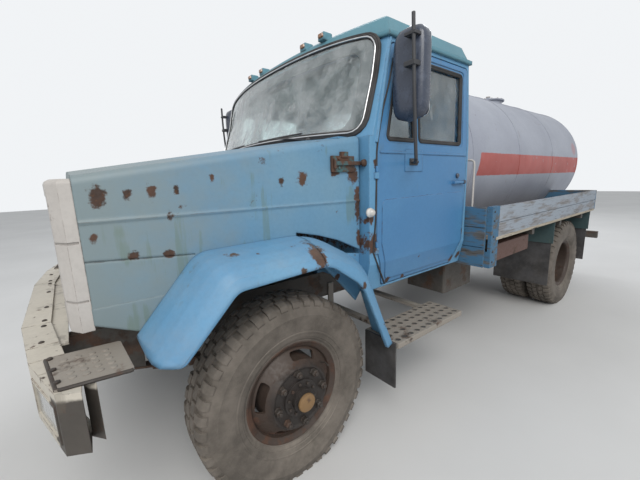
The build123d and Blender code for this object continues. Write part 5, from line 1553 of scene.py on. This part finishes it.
@dataclass
class DoorTrim:
    """What is fixed to a door: lock, mirror patch, mirror housing, glass and rod."""

    side: Side
    lock_place: Point2 = (-1.478, 1.567)
    button_place: Point2 = (-1.545, 1.520)
    button_out: float = 0.016
    lock: tuple[Point2, ...] = ((-0.002, 0.017), (0.010, 0.017), (0.013, 0.014))
    button: tuple[Point2, ...] = ((0.0, 0.015), (0.014, 0.015), (0.017, 0.011))
    patch: tuple[Point2, ...] = ((-1.043, 1.600), (-1.043, 1.735), (-0.860, 1.735), (-0.860, 1.600))
    patch_depth: Point2 = (-0.001, 0.003)
    mirror_x: float = -0.752
    mirror_y: float = 1.176
    mirror_z: Point2 = (1.868, 2.352)
    housing_half: Point2 = (0.050, 0.104)
    housing_steps: int = 24
    housing_turns: int = 40
    glass_inset: float = 0.030
    glass_half: float = 0.088
    base_x: float = -0.944
    base_z: float = 1.660
    rod_x: float = -0.680
    rod_y: float = 1.245
    rod_foot: float = 1.668
    rod_top: float = 2.372
    rod_radius: float = 0.0095
    rod_lean: Point2 = (-0.040, 0.048)
    rod_bow: float = 0.014
    clamps: tuple[Point2, ...] = ((2.14, 0.012), (2.28, 0.008))
    bolt: tuple[Point2, ...] = ((0.0, 0.011), (0.010, 0.011), (0.012, 0.008))

    @property
    def body(self) -> str:
        """The door's body."""
        return f"door_{self.side.word}_body"

    @property
    def face(self) -> float:
        """The y of the door's outer face."""
        return CAB.side_y(1.5) * self.side.value

    def build(self) -> None:
        """Makes the door's trims."""
        s, face = self.side.value, self.face
        out = Vector((0, s, 0))
        lock = Shape().lathe(at(self.lock_place[0], face, self.lock_place[1]), out, self.lock, 20)
        button = at(self.button_place[0], face + s * self.button_out, self.button_place[1])
        lock.lathe(button, out, self.button, 20)
        lock.piece(f"door_lock_{self.side.word}", Finishes.shell, self.body, "white_paint")
        ring = rounded(self.patch, 0.008, 3)
        plate = Shape().rings([[at(x, face + s * depth, z) for x, z in ring] for depth in self.patch_depth])
        plate.piece(f"mirror_patch_{self.side.word}", Finishes.door, self.body, "blue_paint")
        self.housing()
        self.rod()
        self.glass()

    def housing(self) -> None:
        """The mirror's domed housing, in place of its solid."""
        cx, cy = self.mirror_x, self.side.value * self.mirror_y
        low, high = self.mirror_z
        rows = []
        for k in range(self.housing_steps + 1):
            v = -1.0 + 2.0 * k / self.housing_steps
            size = max((1.0 - abs(v) ** 7.0) ** 0.45, 0.03)
            ring = []
            for i in range(self.housing_turns):
                a = 2 * math.pi * i / self.housing_turns
                domed = 0.75 if math.cos(a) > 0 else 0.3
                ux = math.copysign(abs(math.cos(a)) ** domed, math.cos(a)) * size
                uy = math.copysign(abs(math.sin(a)) ** 0.62, math.sin(a)) * size
                z = (low + high) / 2 + (high - low) / 2 * v
                ring.append(at(cx + self.housing_half[0] * ux, cy + self.housing_half[1] * uy, z))
            rows.append(ring)
        name = f"mirror_housing_{self.side.word}"
        housing = Shape().rings(rows).piece(name, Finishes.shell, self.body, "mirror_shell", sharp=60.0)
        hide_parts(f"mirror_{self.side.word}")

    def rod(self) -> None:
        """The bowed rod that carries the mirror, with its clamps and its foot on the door."""
        s, face = self.side.value, self.face
        base, stand_x, stand_y = self.base_x, self.rod_x, s * self.rod_y
        path = [
            at(base, face - s * 0.004, self.base_z),
            at(base + 0.01, face + s * 0.02, self.base_z - 0.001),
            at(stand_x - 0.065, stand_y - s * 0.02, self.base_z - 0.014),
        ]
        for k in range(13):
            t = k / 12
            bow = self.rod_bow * math.sin(math.pi * t)
            x = stand_x + self.rod_lean[0] + self.rod_lean[1] * t + bow
            path.append(at(x, stand_y + bow * 0.5 * s, self.rod_foot + (self.rod_top - self.rod_foot) * t))
        rod = Shape().tube(path, self.rod_radius, sides=12)
        for z, wide in self.clamps:
            y0, y1 = sorted((s * (self.mirror_y + 0.02), stand_y + s * 0.018))
            rod.block(at(self.mirror_x + 0.035, y0, z - wide), at(stand_x + 0.018, y1, z + wide))
        for dx in (-0.0245, 0.0245):
            rod.lathe(at(base + dx, face + s * 0.010, self.base_z), Vector((0, s, 0)), self.bolt, 6)
        y0, y1 = sorted((face - s * 0.002, face + s * 0.010))
        rod.block(at(base - 0.04, y0, self.base_z - 0.020), at(base + 0.04, y1, self.base_z + 0.022))
        rod.piece(f"mirror_rod_{self.side.word}", Finishes.plastic, self.body, "mirror_shell", bevel=0.002)

    def glass(self) -> None:
        """The mirror's glass, on the housing's rear face."""
        cy = self.side.value * self.mirror_y
        low, high = self.mirror_z[0] + self.glass_inset, self.mirror_z[1] - self.glass_inset
        left, right = cy - self.glass_half, cy + self.glass_half
        ring = rounded(((left, low), (right, low), (right, high), (left, high)), 0.03, 4)
        rear = self.mirror_x - self.housing_half[0]
        glass = Shape().rings([[at(rear - depth, y, z) for y, z in ring] for depth in (-0.002, 0.0015)])
        glass.piece(f"mirror_glass_{self.side.word}", Finishes.mirror_glass, self.body, "lamp_glass")


@dataclass
class BonnetTrim:
    """Latches at the bonnet's rear corners, its low side panels, and the dark mesh behind the grille."""

    latch_x: Point2 = (-0.490, -0.325)
    latch_z: float = 1.652
    side_y: float = 0.993
    knob: tuple[Point2, ...] = (
        (0.0, 0.010), (0.012, 0.010), (0.016, 0.019), (0.028, 0.021), (0.036, 0.015), (0.038, 0.006),
    )
    rivet: tuple[Point2, ...] = ((0, 0.008), (0.006, 0.008), (0.008, 0.005))
    panel: tuple[Point2, ...] = (
        (0.787, 1.118), (0.787, 1.050), (0.640, 0.984), (0.600, 1.030), (0.530, 1.118),
    )
    panel_depth: Point2 = (-0.007, 0.0012)
    nose_x: float = 0.785
    nose_half: float = 0.900
    side_flare: float = 0.1 / 1.315
    mesh_x: float = 0.822
    mesh_half: float = 0.76
    mesh_z: Point2 = (1.105, 1.538)
    mesh_counts: tuple[int, int] = (38, 11)
    wire: float = 0.0022

    def latch_plates(self, s: float) -> Shape:
        """The latch's plate, its top tab, its arm, its pin and its rivets.

        Args:
            s: the side, as the sign of y.

        Returns:
            The shape of them all.
        """
        x0, x1 = self.latch_x
        y, z = self.side_y, self.latch_z
        plate = Shape().block(at(x0, s * (y - 0.004), z - 0.046), at(x1, s * (y + 0.010), z + 0.040))
        plate.block(at(x0 + 0.05, s * (y - 0.004), z + 0.03), at(x0 + 0.10, s * (y + 0.016), z + 0.062))
        plate.block(at(x0 - 0.06, s * (y + 0.006), z - 0.010), at(x1 - 0.02, s * (y + 0.022), z + 0.012))
        plate.tube([at(x1 - 0.015, s * (y + 0.02), z + rise) for rise in (-0.028, 0.028)], 0.008)
        for rise in (-0.024, 0.024):
            plate.lathe(at(x1 - 0.05, s * (y + 0.009), z + rise), Vector((0, s, 0)), self.rivet, 8)
        return plate

    def latch(self, side: Side) -> None:
        """A clamp latch with its knob on one side of the bonnet.

        Args:
            side: which side.
        """
        s = side.value
        plates = self.latch_plates(s)
        plates.piece(f"bonnet_latch_{side.word}", Finishes.latch, "bonnet_unit", "rusty_steel", bevel=0.002)
        centre = at(self.latch_x[0] - 0.045, s * (self.side_y + 0.016), self.latch_z + 0.002)
        knob = Shape().lathe(centre, Vector((0, s, 0)), self.knob, 20)
        knob.piece(f"latch_knob_{side.word}", Finishes.nuts, "bonnet_unit", "rusty_steel")

    def side_panel(self, side: Side) -> None:
        """The low part of one side between the grille surround and the front arch.

        Args:
            side: which side.
        """
        rows = []
        for out in self.panel_depth:
            row = []
            for x, z in self.panel:
                y = self.nose_half + (self.nose_x - x) * self.side_flare + out
                row.append(at(x, side.value * y, z))
            rows.append(row)
        name = f"bonnet_side_panel_{side.word}"
        Shape().rings(rows).piece(name, Finishes.bonnet, "bonnet_unit", "blue_paint", bevel=0.001)

    def mesh(self) -> None:
        """A wire mesh behind the grille's bars."""
        shape = Shape()
        x, half, (low, high) = self.mesh_x, self.mesh_half, self.mesh_z
        uprights, levels = self.mesh_counts
        for k in range(uprights + 1):
            y = -half + 2 * half * k / uprights
            shape.tube([at(x, y, low), at(x, y, high)], self.wire, sides=5)
        for k in range(levels + 1):
            z = low + (high - low) * k / levels
            shape.tube([at(x + 0.003, y, z) for y in (-half - 0.008, half + 0.008)], self.wire, sides=5)
        shape.piece("grille_mesh", Finishes.chassis, "bonnet_unit", "frame_black")

    def build(self) -> None:
        """Makes the latches, the side panels and the mesh."""
        for side in Side:
            self.latch(side)
            self.side_panel(side)
        self.mesh()


@dataclass
class FrontTrim:
    """Foot plate studs and bolts, and the bumper's bolts."""

    step_z: float = 0.958
    rows: int = 4
    columns: int = 5
    plate: tuple[Point2, ...] = ((0.915, 0.895), (0.885, 1.085), (0.735, 1.110), (0.748, 0.915))
    plate_edge: tuple[Point2, ...] = (
        (0.706, 1.144), (0.712, 1.146), (0.900, 1.118), (0.912, 1.112), (0.945, 0.862),
    )
    edge_radius: float = 0.007
    bolt_ys: Point3 = (0.875, 0.975, 1.075)
    bolt_x: float = 0.932
    bolt_slant: float = 0.12
    stud: tuple[Point2, ...] = ((0, 0.013), (0.003, 0.011), (0.0045, 0.006))
    bolt: tuple[Point2, ...] = ((0, 0.010), (0.007, 0.010), (0.009, 0.007))
    bumper_x: float = 0.965
    bumper_z: float = 0.949
    bumper_ys: tuple[float, ...] = (0.16, 0.38, 0.46, 0.66)
    round_head: tuple[Point2, ...] = ((0, 0.011), (0.004, 0.010), (0.007, 0.005))

    def studs(self, s: float) -> Shape:
        """The rows of raised studs on one foot plate.

        Args:
            s: the side, as the sign of y.

        Returns:
            The shape of them all.
        """
        made = Shape()
        front_in, front_out, rear_out, rear_in = (Vector(corner) for corner in self.plate)
        for i in range(self.rows):
            for j in range(self.columns):
                u, v = (i + 0.5) / self.rows, (j + 0.5) / self.columns
                inner, outer = front_in.lerp(rear_in, u), front_out.lerp(rear_out, u)
                x, y = inner.lerp(outer, v)
                made.lathe(at(x, s * y, self.step_z - 0.001), UP, self.stud, 12)
        return made

    def foot_plate(self, side: Side) -> None:
        """Raised studs, bolts and a rolled edge on one foot plate.

        Args:
            side: which side.
        """
        s = side.value
        self.studs(s).piece(f"step_studs_{side.word}", Finishes.steps, "chassis", "checker_steel")
        bolts = Shape()
        for y in self.bolt_ys:
            x = self.bolt_x - (y - self.bolt_ys[0]) * self.bolt_slant
            bolts.lathe(at(x, s * y, self.step_z - 0.001), UP, self.bolt, 6)
        edge = [at(x, s * y, self.step_z - 0.004) for x, y in self.plate_edge]
        bolts.tube(edge, self.edge_radius, sides=8)
        bolts.piece(f"step_bolts_{side.word}", Finishes.nuts, "chassis", "checker_steel")

    def bumper_bolts(self) -> None:
        """Round heads along the bumper's top joints."""
        shape = Shape()
        for s in (-1.0, 1.0):
            for y in self.bumper_ys:
                shape.lathe(at(self.bumper_x, s * y, self.bumper_z), UP, self.round_head, 14)
        shape.piece("bumper_bolts", Finishes.nuts, "chassis", "rusty_steel")

    def build(self) -> None:
        """Makes both foot plates' studs and the bumper's bolts."""
        for side in Side:
            self.foot_plate(side)
        self.bumper_bolts()


@dataclass
class CabTrim:
    """Repeater lamps, roof marker lenses, painted shade in the door gaps, the white pipe and the running
    boards' holes with painted shade in them.
    """

    lamp_x: float = -0.545
    lamp_z: float = 1.375
    lamp: tuple[Point2, ...] = (
        (-0.002, 0.027), (0.006, 0.028), (0.009, 0.026), (0.024, 0.023), (0.034, 0.015), (0.038, 0.005),
    )
    gap_line: tuple[Point2, ...] = (
        (-0.769, 2.237), (-0.721, 2.090), (-0.663, 1.949), (-0.614, 1.778), (-0.605, 1.712),
        (-0.602, 1.529), (-0.596, 1.328), (-0.576, 1.134), (-0.621, 1.039), (-0.677, 0.922),
    )
    gap_radius: float = 0.0058
    marker_ys: Point2 = (0.31, 0.52)
    marker_x: float = -0.667
    marker_z: Point2 = (2.490, 2.520)
    marker_half: Point2 = (0.026, 0.022)
    pipe: tuple[Point3, ...] = (
        (-1.690, 1.085, 1.18), (-1.690, 1.085, 1.645), (-1.691, 1.081, 1.668), (-1.692, 1.062, 1.680),
        (-1.692, 1.020, 1.682),
    )
    pipe_radius: float = 0.008
    hole_start: Point2 = (-0.665, 0.985)
    hole_pitch: Point2 = (0.0645, 0.067)
    hole_counts: tuple[int, int] = (11, 4)
    board_z: float = 0.5945
    rim: tuple[Point2, ...] = ((0, 0.023), (0.003, 0.021), (0.004, 0.018), (0.001, 0.0165))
    hole: tuple[Point2, ...] = ((0, 0.0165), (0.0008, 0.0165))

    def door_gap(self, side: Side) -> None:
        """A black tube along the door's front edge: painted shade in the door's gap.

        Args:
            side: which side.
        """
        path = [at(x, side.value * (CAB.side_y(z) + 0.001), z) for x, z in self.gap_line]
        # Painted shade: a black tube that thickens the dark line of the door's front gap.
        rubber = Shape().tube(path, self.gap_radius, sides=8)
        rubber.piece(f"door_gap_{side.word}", Finishes.seal, "chassis", "flap_rubber")

    def repeater(self, side: Side) -> None:
        """The round lamp on the side, just ahead of the door.

        Args:
            side: which side.
        """
        centre = at(self.lamp_x, side.value * CAB.half[0], self.lamp_z)
        lamp = Shape().lathe(centre, Vector((0, side.value, 0)), self.lamp, 28)
        lamp.piece(f"repeater_{side.word}", Finishes.clear, "chassis", "lamp_glass")

    def markers(self) -> None:
        """Orange lenses on the roof's marker lamps."""
        shape = Shape()
        low, high = self.marker_z
        foot, top = self.marker_half
        for y in (-self.marker_ys[1], -self.marker_ys[0], *self.marker_ys):
            corners = ((y - foot, low), (y + foot, low), (y + top, high), (y - top, high))
            outline = rounded(corners, 0.008, 3)
            rows = []
            for out in (-0.004, 0.006, 0.010):
                rows.append([at(self.marker_x + out, p, q) for p, q in shifted(outline, -out * 0.5)])
            shape.rings(rows)
        shape.piece("roof_markers", Finishes.amber, "chassis", "amber_lens")

    def corner_pipe(self) -> None:
        """The thin white pipe that rises behind the cab's corner."""
        pipe = Shape().tube([at(*point) for point in self.pipe], self.pipe_radius, sides=12)
        pipe.piece("rear_corner_pipe", Finishes.white, "chassis", "white_paint")

    def running_board(self, side: Side) -> None:
        """Rows of pressed rings on one running board, with black discs in them as painted shade of the holes.

        Args:
            side: which side.
        """
        rims, holes = Shape(), Shape()
        for i in range(self.hole_counts[0]):
            for j in range(self.hole_counts[1]):
                x = self.hole_start[0] - self.hole_pitch[0] * i
                y = side.value * (self.hole_start[1] + self.hole_pitch[1] * j)
                rims.lathe(at(x, y, self.board_z), UP, self.rim, 16)
                # Painted shade: a thin black disc stands where each hole would show the dark below.
                holes.lathe(at(x, y, self.board_z + 0.0003), UP, self.hole, 16)
        rims.piece(f"running_board_rims_{side.word}", Finishes.steps, "chassis", "checker_steel")
        holes.piece(f"running_board_hole_shade_{side.word}", Finishes.seal, "chassis", "frame_black")

    def build(self) -> None:
        """Makes the lamps, the painted shade in the door gaps, the pipe and the boards' holes with their
        painted shade.
        """
        for side in Side:
            self.repeater(side)
            self.door_gap(side)
            self.running_board(side)
        self.markers()
        self.corner_pipe()


@dataclass
class TankTrim:
    """Weld beads round and along the tank, and the manhole's bolts and vent knob."""

    radius: float = 0.830
    centre_z: float = 1.710
    bead_xs: tuple[float, ...] = (-2.175, -3.22, -4.28, -5.33)
    bead_radius: float = 0.0042
    bead_steps: int = 96
    seam_angle: float = 0.55
    manhole_x: float = -4.090
    bolt_count: int = 16
    bolt_circle: float = 0.212
    bolt_z: float = 0.043
    bolt: tuple[Point2, ...] = ((0, 0.013), (0.010, 0.013), (0.012, 0.010))
    vent_place: Point3 = (0.06, 0.06, 0.083)
    vent: tuple[Point2, ...] = ((0, 0.028), (0.012, 0.028), (0.016, 0.022))

    def beads(self) -> None:
        """The weld beads."""
        beads = Shape()
        turns = [2 * math.pi * k / self.bead_steps for k in range(self.bead_steps)]
        for x in self.bead_xs:
            ring = []
            for a in turns:
                ring.append(at(x, self.radius * math.cos(a), self.centre_z + self.radius * math.sin(a)))
            beads.tube(ring, self.bead_radius, closed=True, sides=6)
        y = self.radius * math.sin(self.seam_angle)
        z = self.centre_z + self.radius * math.cos(self.seam_angle)
        beads.tube([at(x, y, z) for x in self.bead_xs], self.bead_radius, sides=6)
        beads.piece("tank_welds", Finishes.tank, "chassis", "tank_paint", sharp=60.0)

    def build(self) -> None:
        """Makes the beads, the bolts and the vent knob."""
        self.beads()
        centre = at(self.manhole_x, 0.0, self.centre_z + self.radius)
        bolts = Shape()
        for k in range(self.bolt_count):
            a = 2 * math.pi * k / self.bolt_count
            place = Vector((self.bolt_circle * math.cos(a), self.bolt_circle * math.sin(a), self.bolt_z))
            bolts.lathe(centre + place, UP, self.bolt, 6)
        bolts.lathe(centre + Vector(self.vent_place), UP, self.vent, 20)
        bolts.piece("manhole_bolts", Finishes.white, "chassis", "tank_paint")


@dataclass
class PlatformTrim:
    """The pale strip along the side boards' foot, and bolt heads on the corner posts."""

    board_y: float = 1.250
    strip_x: Point2 = (-4.585, -1.765)
    strip_z: Point2 = (1.066, 1.090)
    strip_depth: Point2 = (-0.010, 0.003)
    post_x: float = -1.716
    post_y: float = 1.249
    bolt_zs: tuple[float, ...] = (0.90, 0.98, 1.10, 1.22, 1.29)
    bolt: tuple[Point2, ...] = ((0, 0.009), (0.004, 0.008), (0.006, 0.004))

    def build(self) -> None:
        """Makes the strips and the bolts."""
        strips, bolts = Shape(), Shape()
        for side in Side:
            s = side.value
            y0, y1 = sorted(s * (self.board_y + depth) for depth in self.strip_depth)
            strips.block(at(self.strip_x[0], y0, self.strip_z[0]), at(self.strip_x[1], y1, self.strip_z[1]))
            for z in self.bolt_zs:
                bolts.lathe(at(self.post_x, s * self.post_y, z), Vector((0, s, 0)), self.bolt, 12)
        strips.piece("board_strips", Finishes.strip, "chassis", "old_wood", bevel=0.0015)
        bolts.piece("board_bolts", Finishes.nuts, "chassis", "rusty_steel")


@dataclass
class Cushion:
    """A crowned, closed pad between two corners, with sewn channels across it."""

    low: Vector
    high: Vector
    channels: int = 5
    lean: float = 0.0
    upright: bool = False
    around: int = 48
    layers: int = 15
    level_power: float = 0.55
    side_power: float = 0.42
    corner_power: float = 0.38
    least: float = 0.02
    groove: float = 0.12
    groove_power: int = 6
    groove_from: float = 0.6

    def shape(self) -> Shape:
        """The pad's mesh: two crowned faces that meet in a rounded side.

        Returns:
            The shape.
        """
        middle = (self.low + self.high) / 2
        half = (self.high - self.low) / 2
        rows = []
        for i in range(self.layers):
            v = -math.pi / 2 + math.pi * i / (self.layers - 1)
            ring = []
            level = math.copysign(abs(math.sin(v)) ** self.level_power, v)
            size = max(abs(math.cos(v)) ** self.side_power, self.least)
            for k in range(self.around):
                a = 2 * math.pi * k / self.around
                cx = math.copysign(abs(math.cos(a)) ** self.corner_power, math.cos(a))
                cy = math.copysign(abs(math.sin(a)) ** self.corner_power, math.sin(a))
                ring.append(self._place(middle, half, cx * size, cy * size, level))
            rows.append(ring)
        return Shape().rings(rows)

    def _place(self, middle: Vector, half: Vector, u: float, v: float, w: float) -> Vector:
        """A point of the pad from its place across and through, each from -1 to 1.

        Args:
            middle: the pad's centre.
            half: half of its size.
            u: along the seat or up the back.
            v: across the seat.
            w: through the pad.

        Returns:
            The point.
        """
        groove = self.groove * max(0.0, math.cos(v * self.channels * math.pi)) ** self.groove_power
        thick = w * (1.0 - groove * (abs(w) > self.groove_from))
        y = middle.y + half.y * v
        if self.upright:
            x = middle.x + half.x * thick - self.lean * (u + 1) / 2
            return Vector((x, y, middle.z + half.z * u))
        return Vector((middle.x + half.x * u, y, middle.z + half.z * thick))


@dataclass
class Interior:
    """Seats with padded cushions and backs, the gear lever and the pedals."""

    floor_z: float = 0.930
    seat_x: float = -1.330
    base_ys: Point2 = (0.185, 0.695)
    base_xs: Point2 = (-0.185, 0.255)
    base_zs: Point2 = (0.03, 0.185)
    pad_ys: Point2 = (0.182, 0.698)
    pad_xs: Point2 = (-0.19, 0.27)
    pad_zs: Point2 = (0.185, 0.335)
    back_xs: Point2 = (-0.185, -0.085)
    back_zs: Point2 = (0.315, 0.975)
    back_lean: float = 0.045
    lever: tuple[Point3, ...] = (
        (-0.86, 0.06, 0.965), (-0.88, 0.07, 1.15), (-0.94, 0.10, 1.36), (-0.97, 0.12, 1.46),
    )
    lever_radius: float = 0.010
    knob: tuple[Point2, ...] = (
        (-0.03, 0.012), (-0.012, 0.026), (0.005, 0.029), (0.022, 0.022), (0.029, 0.008),
    )
    boot_place: Point3 = (-0.86, 0.06, 0.961)
    boot: tuple[Point2, ...] = ((0, 0.09), (0.02, 0.085), (0.03, 0.05), (0.07, 0.035), (0.09, 0.02))
    pedal_ys: Point3 = (0.30, 0.42, 0.56)
    pedal_arm: tuple[Point2, ...] = ((-0.66, 1.20), (-0.70, 1.10), (-0.72, 1.06))
    pedal_arm_radius: float = 0.008
    pedal_xs: Point2 = (-0.735, -0.715)
    pedal_zs: Point2 = (1.02, 1.09)
    pedal_half: float = 0.035

    def corners(self, side: Side, xs: Point2, ys: Point2, zs: Point2) -> tuple[Vector, Vector]:
        """The low and the high corner of a box of one seat.

        Args:
            side: which side.
            xs: metres ahead of the seat's place.
            ys: metres from the middle, outward.
            zs: metres above the floor.

        Returns:
            The low corner and the high one.
        """
        y0, y1 = sorted(side.value * y for y in ys)
        low = at(self.seat_x + xs[0], y0, self.floor_z + zs[0])
        return low, at(self.seat_x + xs[1], y1, self.floor_z + zs[1])

    def seats(self) -> None:
        """Two seats in place of their plain solid: base boxes, cushions and backs."""
        bases = Shape()
        for side in Side:
            bases.block(*self.corners(side, self.base_xs, self.base_ys, self.base_zs))
        base = bases.piece("seat_bases", Finishes.chassis, "chassis", "seat_vinyl", bevel=0.008)
        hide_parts("seats")
        for side in Side:
            pad = Cushion(*self.corners(side, self.pad_xs, self.pad_ys, self.pad_zs))
            name = f"seat_cushion_{side.word}"
            cushion = pad.shape().piece(name, Finishes.vinyl, "chassis", "seat_vinyl", sharp=70.0)
            corners = self.corners(side, self.back_xs, self.pad_ys, self.back_zs)
            rest = Cushion(*corners, upright=True, lean=self.back_lean)
            name = f"seat_back_{side.word}"
            back = rest.shape().piece(name, Finishes.vinyl, "chassis", "seat_vinyl", sharp=70.0)

    def controls(self) -> None:
        """The gear lever with its knob and rubber boot, and three pedals."""
        path = [at(*point) for point in self.lever]
        shape = Shape().tube(path, self.lever_radius, sides=10)
        shape.lathe(path[-1], path[-1] - path[-2], self.knob, 20)
        shape.lathe(at(*self.boot_place), UP, self.boot, 24)
        (x0, x1), (z0, z1) = self.pedal_xs, self.pedal_zs
        for y in self.pedal_ys:
            shape.tube([at(x, y, z) for x, z in self.pedal_arm], self.pedal_arm_radius, sides=8)
            shape.block(at(x0, y - self.pedal_half, z0), at(x1, y + self.pedal_half, z1))
        shape.piece("cab_controls", Finishes.plastic, "chassis", "interior_plastic")

    def build(self) -> None:
        """Makes the seats and the controls."""
        self.seats()
        self.controls()


NODE_FINISHES: dict[str, Finish] = {
    "frame": Finishes.chassis, "front_bumper": Finishes.bumper, "headlamps": Finishes.lamp,
    "bumper_steps": Finishes.steps, "front_axle": Finishes.chassis, "leaf_springs": Finishes.rusty,
    "frame_brackets": Finishes.chassis, "rear_axle": Finishes.chassis, "engine": Finishes.engine,
    "driveline": Finishes.engine, "frame_boxes": Finishes.chassis, "cab_shell": Finishes.cab,
    "cab_roof": Finishes.roof, "cab_glass": Finishes.glass, "rear_flares": Finishes.arch,
    "dashboard": Finishes.plastic, "steering_wheel": Finishes.plastic, "running_boards": Finishes.steps,
    "tank": Finishes.tank, "tank_fittings": Finishes.tank, "tank_supports": Finishes.chassis,
    "bed_floor": Finishes.floor, "side_boards": Finishes.boards, "end_boards": Finishes.ends,
    "side_box": Finishes.box_rust, "rear_guards": Finishes.teal, "mud_flaps": Finishes.flap,
    "tail_bar": Finishes.chassis, "tail_lamps": Finishes.red, "bonnet": Finishes.bonnet,
    "front_flares": Finishes.arch, "grille": Finishes.white, "door_left": Finishes.door,
    "door_right": Finishes.door, "door_glass_left": Finishes.glass, "door_glass_right": Finishes.glass,
    "mirror_left": Finishes.shell, "mirror_right": Finishes.shell, "knuckle_left": Finishes.chassis,
    "knuckle_right": Finishes.chassis, "track_rod": Finishes.chassis, "front_rim_left": Finishes.wheel,
    "front_rim_right": Finishes.wheel, "rear_rims_left": Finishes.wheel,
    "rear_rims_right": Finishes.wheel,
}


def dress_nodes() -> None:
    """Gives each node of the frame its finish."""
    for name, finish in NODE_FINISHES.items():
        thing = frame["nodes"][name]
        thing.data.materials.clear()
        thing.data.materials.append(finish.material())
    LOG.info("dressed %d nodes", len(NODE_FINISHES))


@dataclass(frozen=True)
class SoftLight:
    """One square lamp: where it stands, how wide and bright it is, and its colour."""

    name: str
    place: Point3
    size: float
    power: float
    colour: Colour


@dataclass
class Studio:
    """Pale floor, soft lights, and the camera where the photograph was taken."""

    eye: Point3 = (3.159, 2.327, 1.568)
    heading: float = 232.03
    down: float = 10.63
    roll: float = -1.838
    focal_px: float = 320.14
    photo_width: int = 640
    sensor: float = 36.0
    floor_size: float = 60.0
    aim: Point3 = (0.5, 0.0, 1.0)
    lights: tuple[SoftLight, ...] = (
        SoftLight("key_light", (5.5, 7.0, 7.5), 6.0, 720.0, (1.0, 0.98, 0.95)),
        SoftLight("back_light", (-7.0, -6.0, 7.0), 7.0, 520.0, (0.95, 0.97, 1.0)),
    )

    def camera(self) -> None:
        """The camera, level apart from its measured roll."""
        data = bpy.data.cameras.new("photo_camera")
        data.sensor_width = self.sensor
        data.lens = self.focal_px / self.photo_width * self.sensor
        data.clip_end = 200.0
        thing = bpy.data.objects.new("photo_camera", data)
        bpy.context.scene.collection.objects.link(thing)
        az, pitch, roll = (math.radians(v) for v in (self.heading, self.down, self.roll))
        ahead = Vector((math.cos(az) * math.cos(pitch), math.sin(az) * math.cos(pitch), -math.sin(pitch)))
        level = Vector((math.sin(az), -math.cos(az), 0.0))
        upright = level.cross(ahead)
        right = level * math.cos(roll) + upright * math.sin(roll)
        top = upright * math.cos(roll) - level * math.sin(roll)
        turned = Matrix((right, top, -ahead)).transposed().to_4x4()
        thing.matrix_world = Matrix.Translation(self.eye) @ turned
        bpy.context.scene.camera = thing

    def floor(self) -> None:
        """A plain pale floor."""
        half = self.floor_size / 2
        mesh = bpy.data.meshes.new("studio_floor")
        corners = [(-half, -half, 0), (half, -half, 0), (half, half, 0), (-half, half, 0)]
        mesh.from_pydata(corners, [], [(0, 1, 2, 3)])
        thing = bpy.data.objects.new("studio_floor", mesh)
        bpy.context.scene.collection.objects.link(thing)
        made = bpy.data.materials.new("studio_floor")
        made.use_nodes = True
        graph = Graph(made.node_tree)
        shader = made.node_tree.nodes["Principled BSDF"]
        place = graph.add("ShaderNodeTexCoord").outputs["Object"]
        cloud = graph.step(graph.noise(place, 0.6), 0.3, 0.7)
        tone = graph.mix(cloud, (0.60, 0.60, 0.595), (0.64, 0.64, 0.635))
        graph.feed(shader.inputs["Base Color"], tone)
        shader.inputs["Roughness"].default_value = 0.9
        mesh.materials.append(made)

    def world(self) -> None:
        """An even sky that also shows in glass and metal."""
        world = bpy.data.worlds.new("studio_world")
        bpy.context.scene.world = world
        world.use_nodes = True
        graph = Graph(world.node_tree)
        world.node_tree.nodes.clear()
        light = graph.add("ShaderNodeBackground", {"Color": (0.94, 0.97, 1.0, 1.0), "Strength": 0.62})
        seen = graph.add("ShaderNodeBackground", {"Color": (0.88, 0.90, 0.92, 1.0), "Strength": 1.0})
        path = graph.add("ShaderNodeLightPath")
        plain = graph.most(path.outputs["Is Camera Ray"],
                           graph.most(path.outputs["Is Glossy Ray"], path.outputs["Is Transmission Ray"]))
        both = graph.add("ShaderNodeMixShader", {0: plain, 1: light.outputs[0], 2: seen.outputs[0]})
        output = graph.add("ShaderNodeOutputWorld")
        graph.tree.links.new(both.outputs[0], output.inputs[0])

    def lamp(self, light: SoftLight) -> None:
        """One square soft light aimed at the truck.

        Args:
            light: what it is and where.
        """
        data = bpy.data.lights.new(light.name, "AREA")
        data.size = light.size
        data.energy = light.power
        data.color = light.colour
        thing = bpy.data.objects.new(light.name, data)
        bpy.context.scene.collection.objects.link(thing)
        thing.location = light.place
        thing.rotation_euler = (Vector(self.aim) - Vector(light.place)).to_track_quat("-Z", "Y").to_euler()

    def build(self) -> None:
        """Sets camera, floor, world and lamps, and the plain view transform."""
        bpy.context.scene.view_settings.view_transform = "Standard"
        self.camera()
        self.floor()
        self.world()
        for light in self.lights:
            self.lamp(light)


def main() -> None:
    """Builds the studio, dresses the frame and adds every trim."""
    Studio().build()
    dress_nodes()
    Wheels().build()
    Glazing().build()
    Wiper("wiper_left", 0.62, 0.28).build()
    Wiper("wiper_right", -0.18, -0.52).build()
    for side in Side:
        DoorTrim(side).build()
    BonnetTrim().build()
    FrontTrim().build()
    CabTrim().build()
    TankTrim().build()
    PlatformTrim().build()
    Interior().build()
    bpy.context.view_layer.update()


if __name__ == "__main__":
    main()
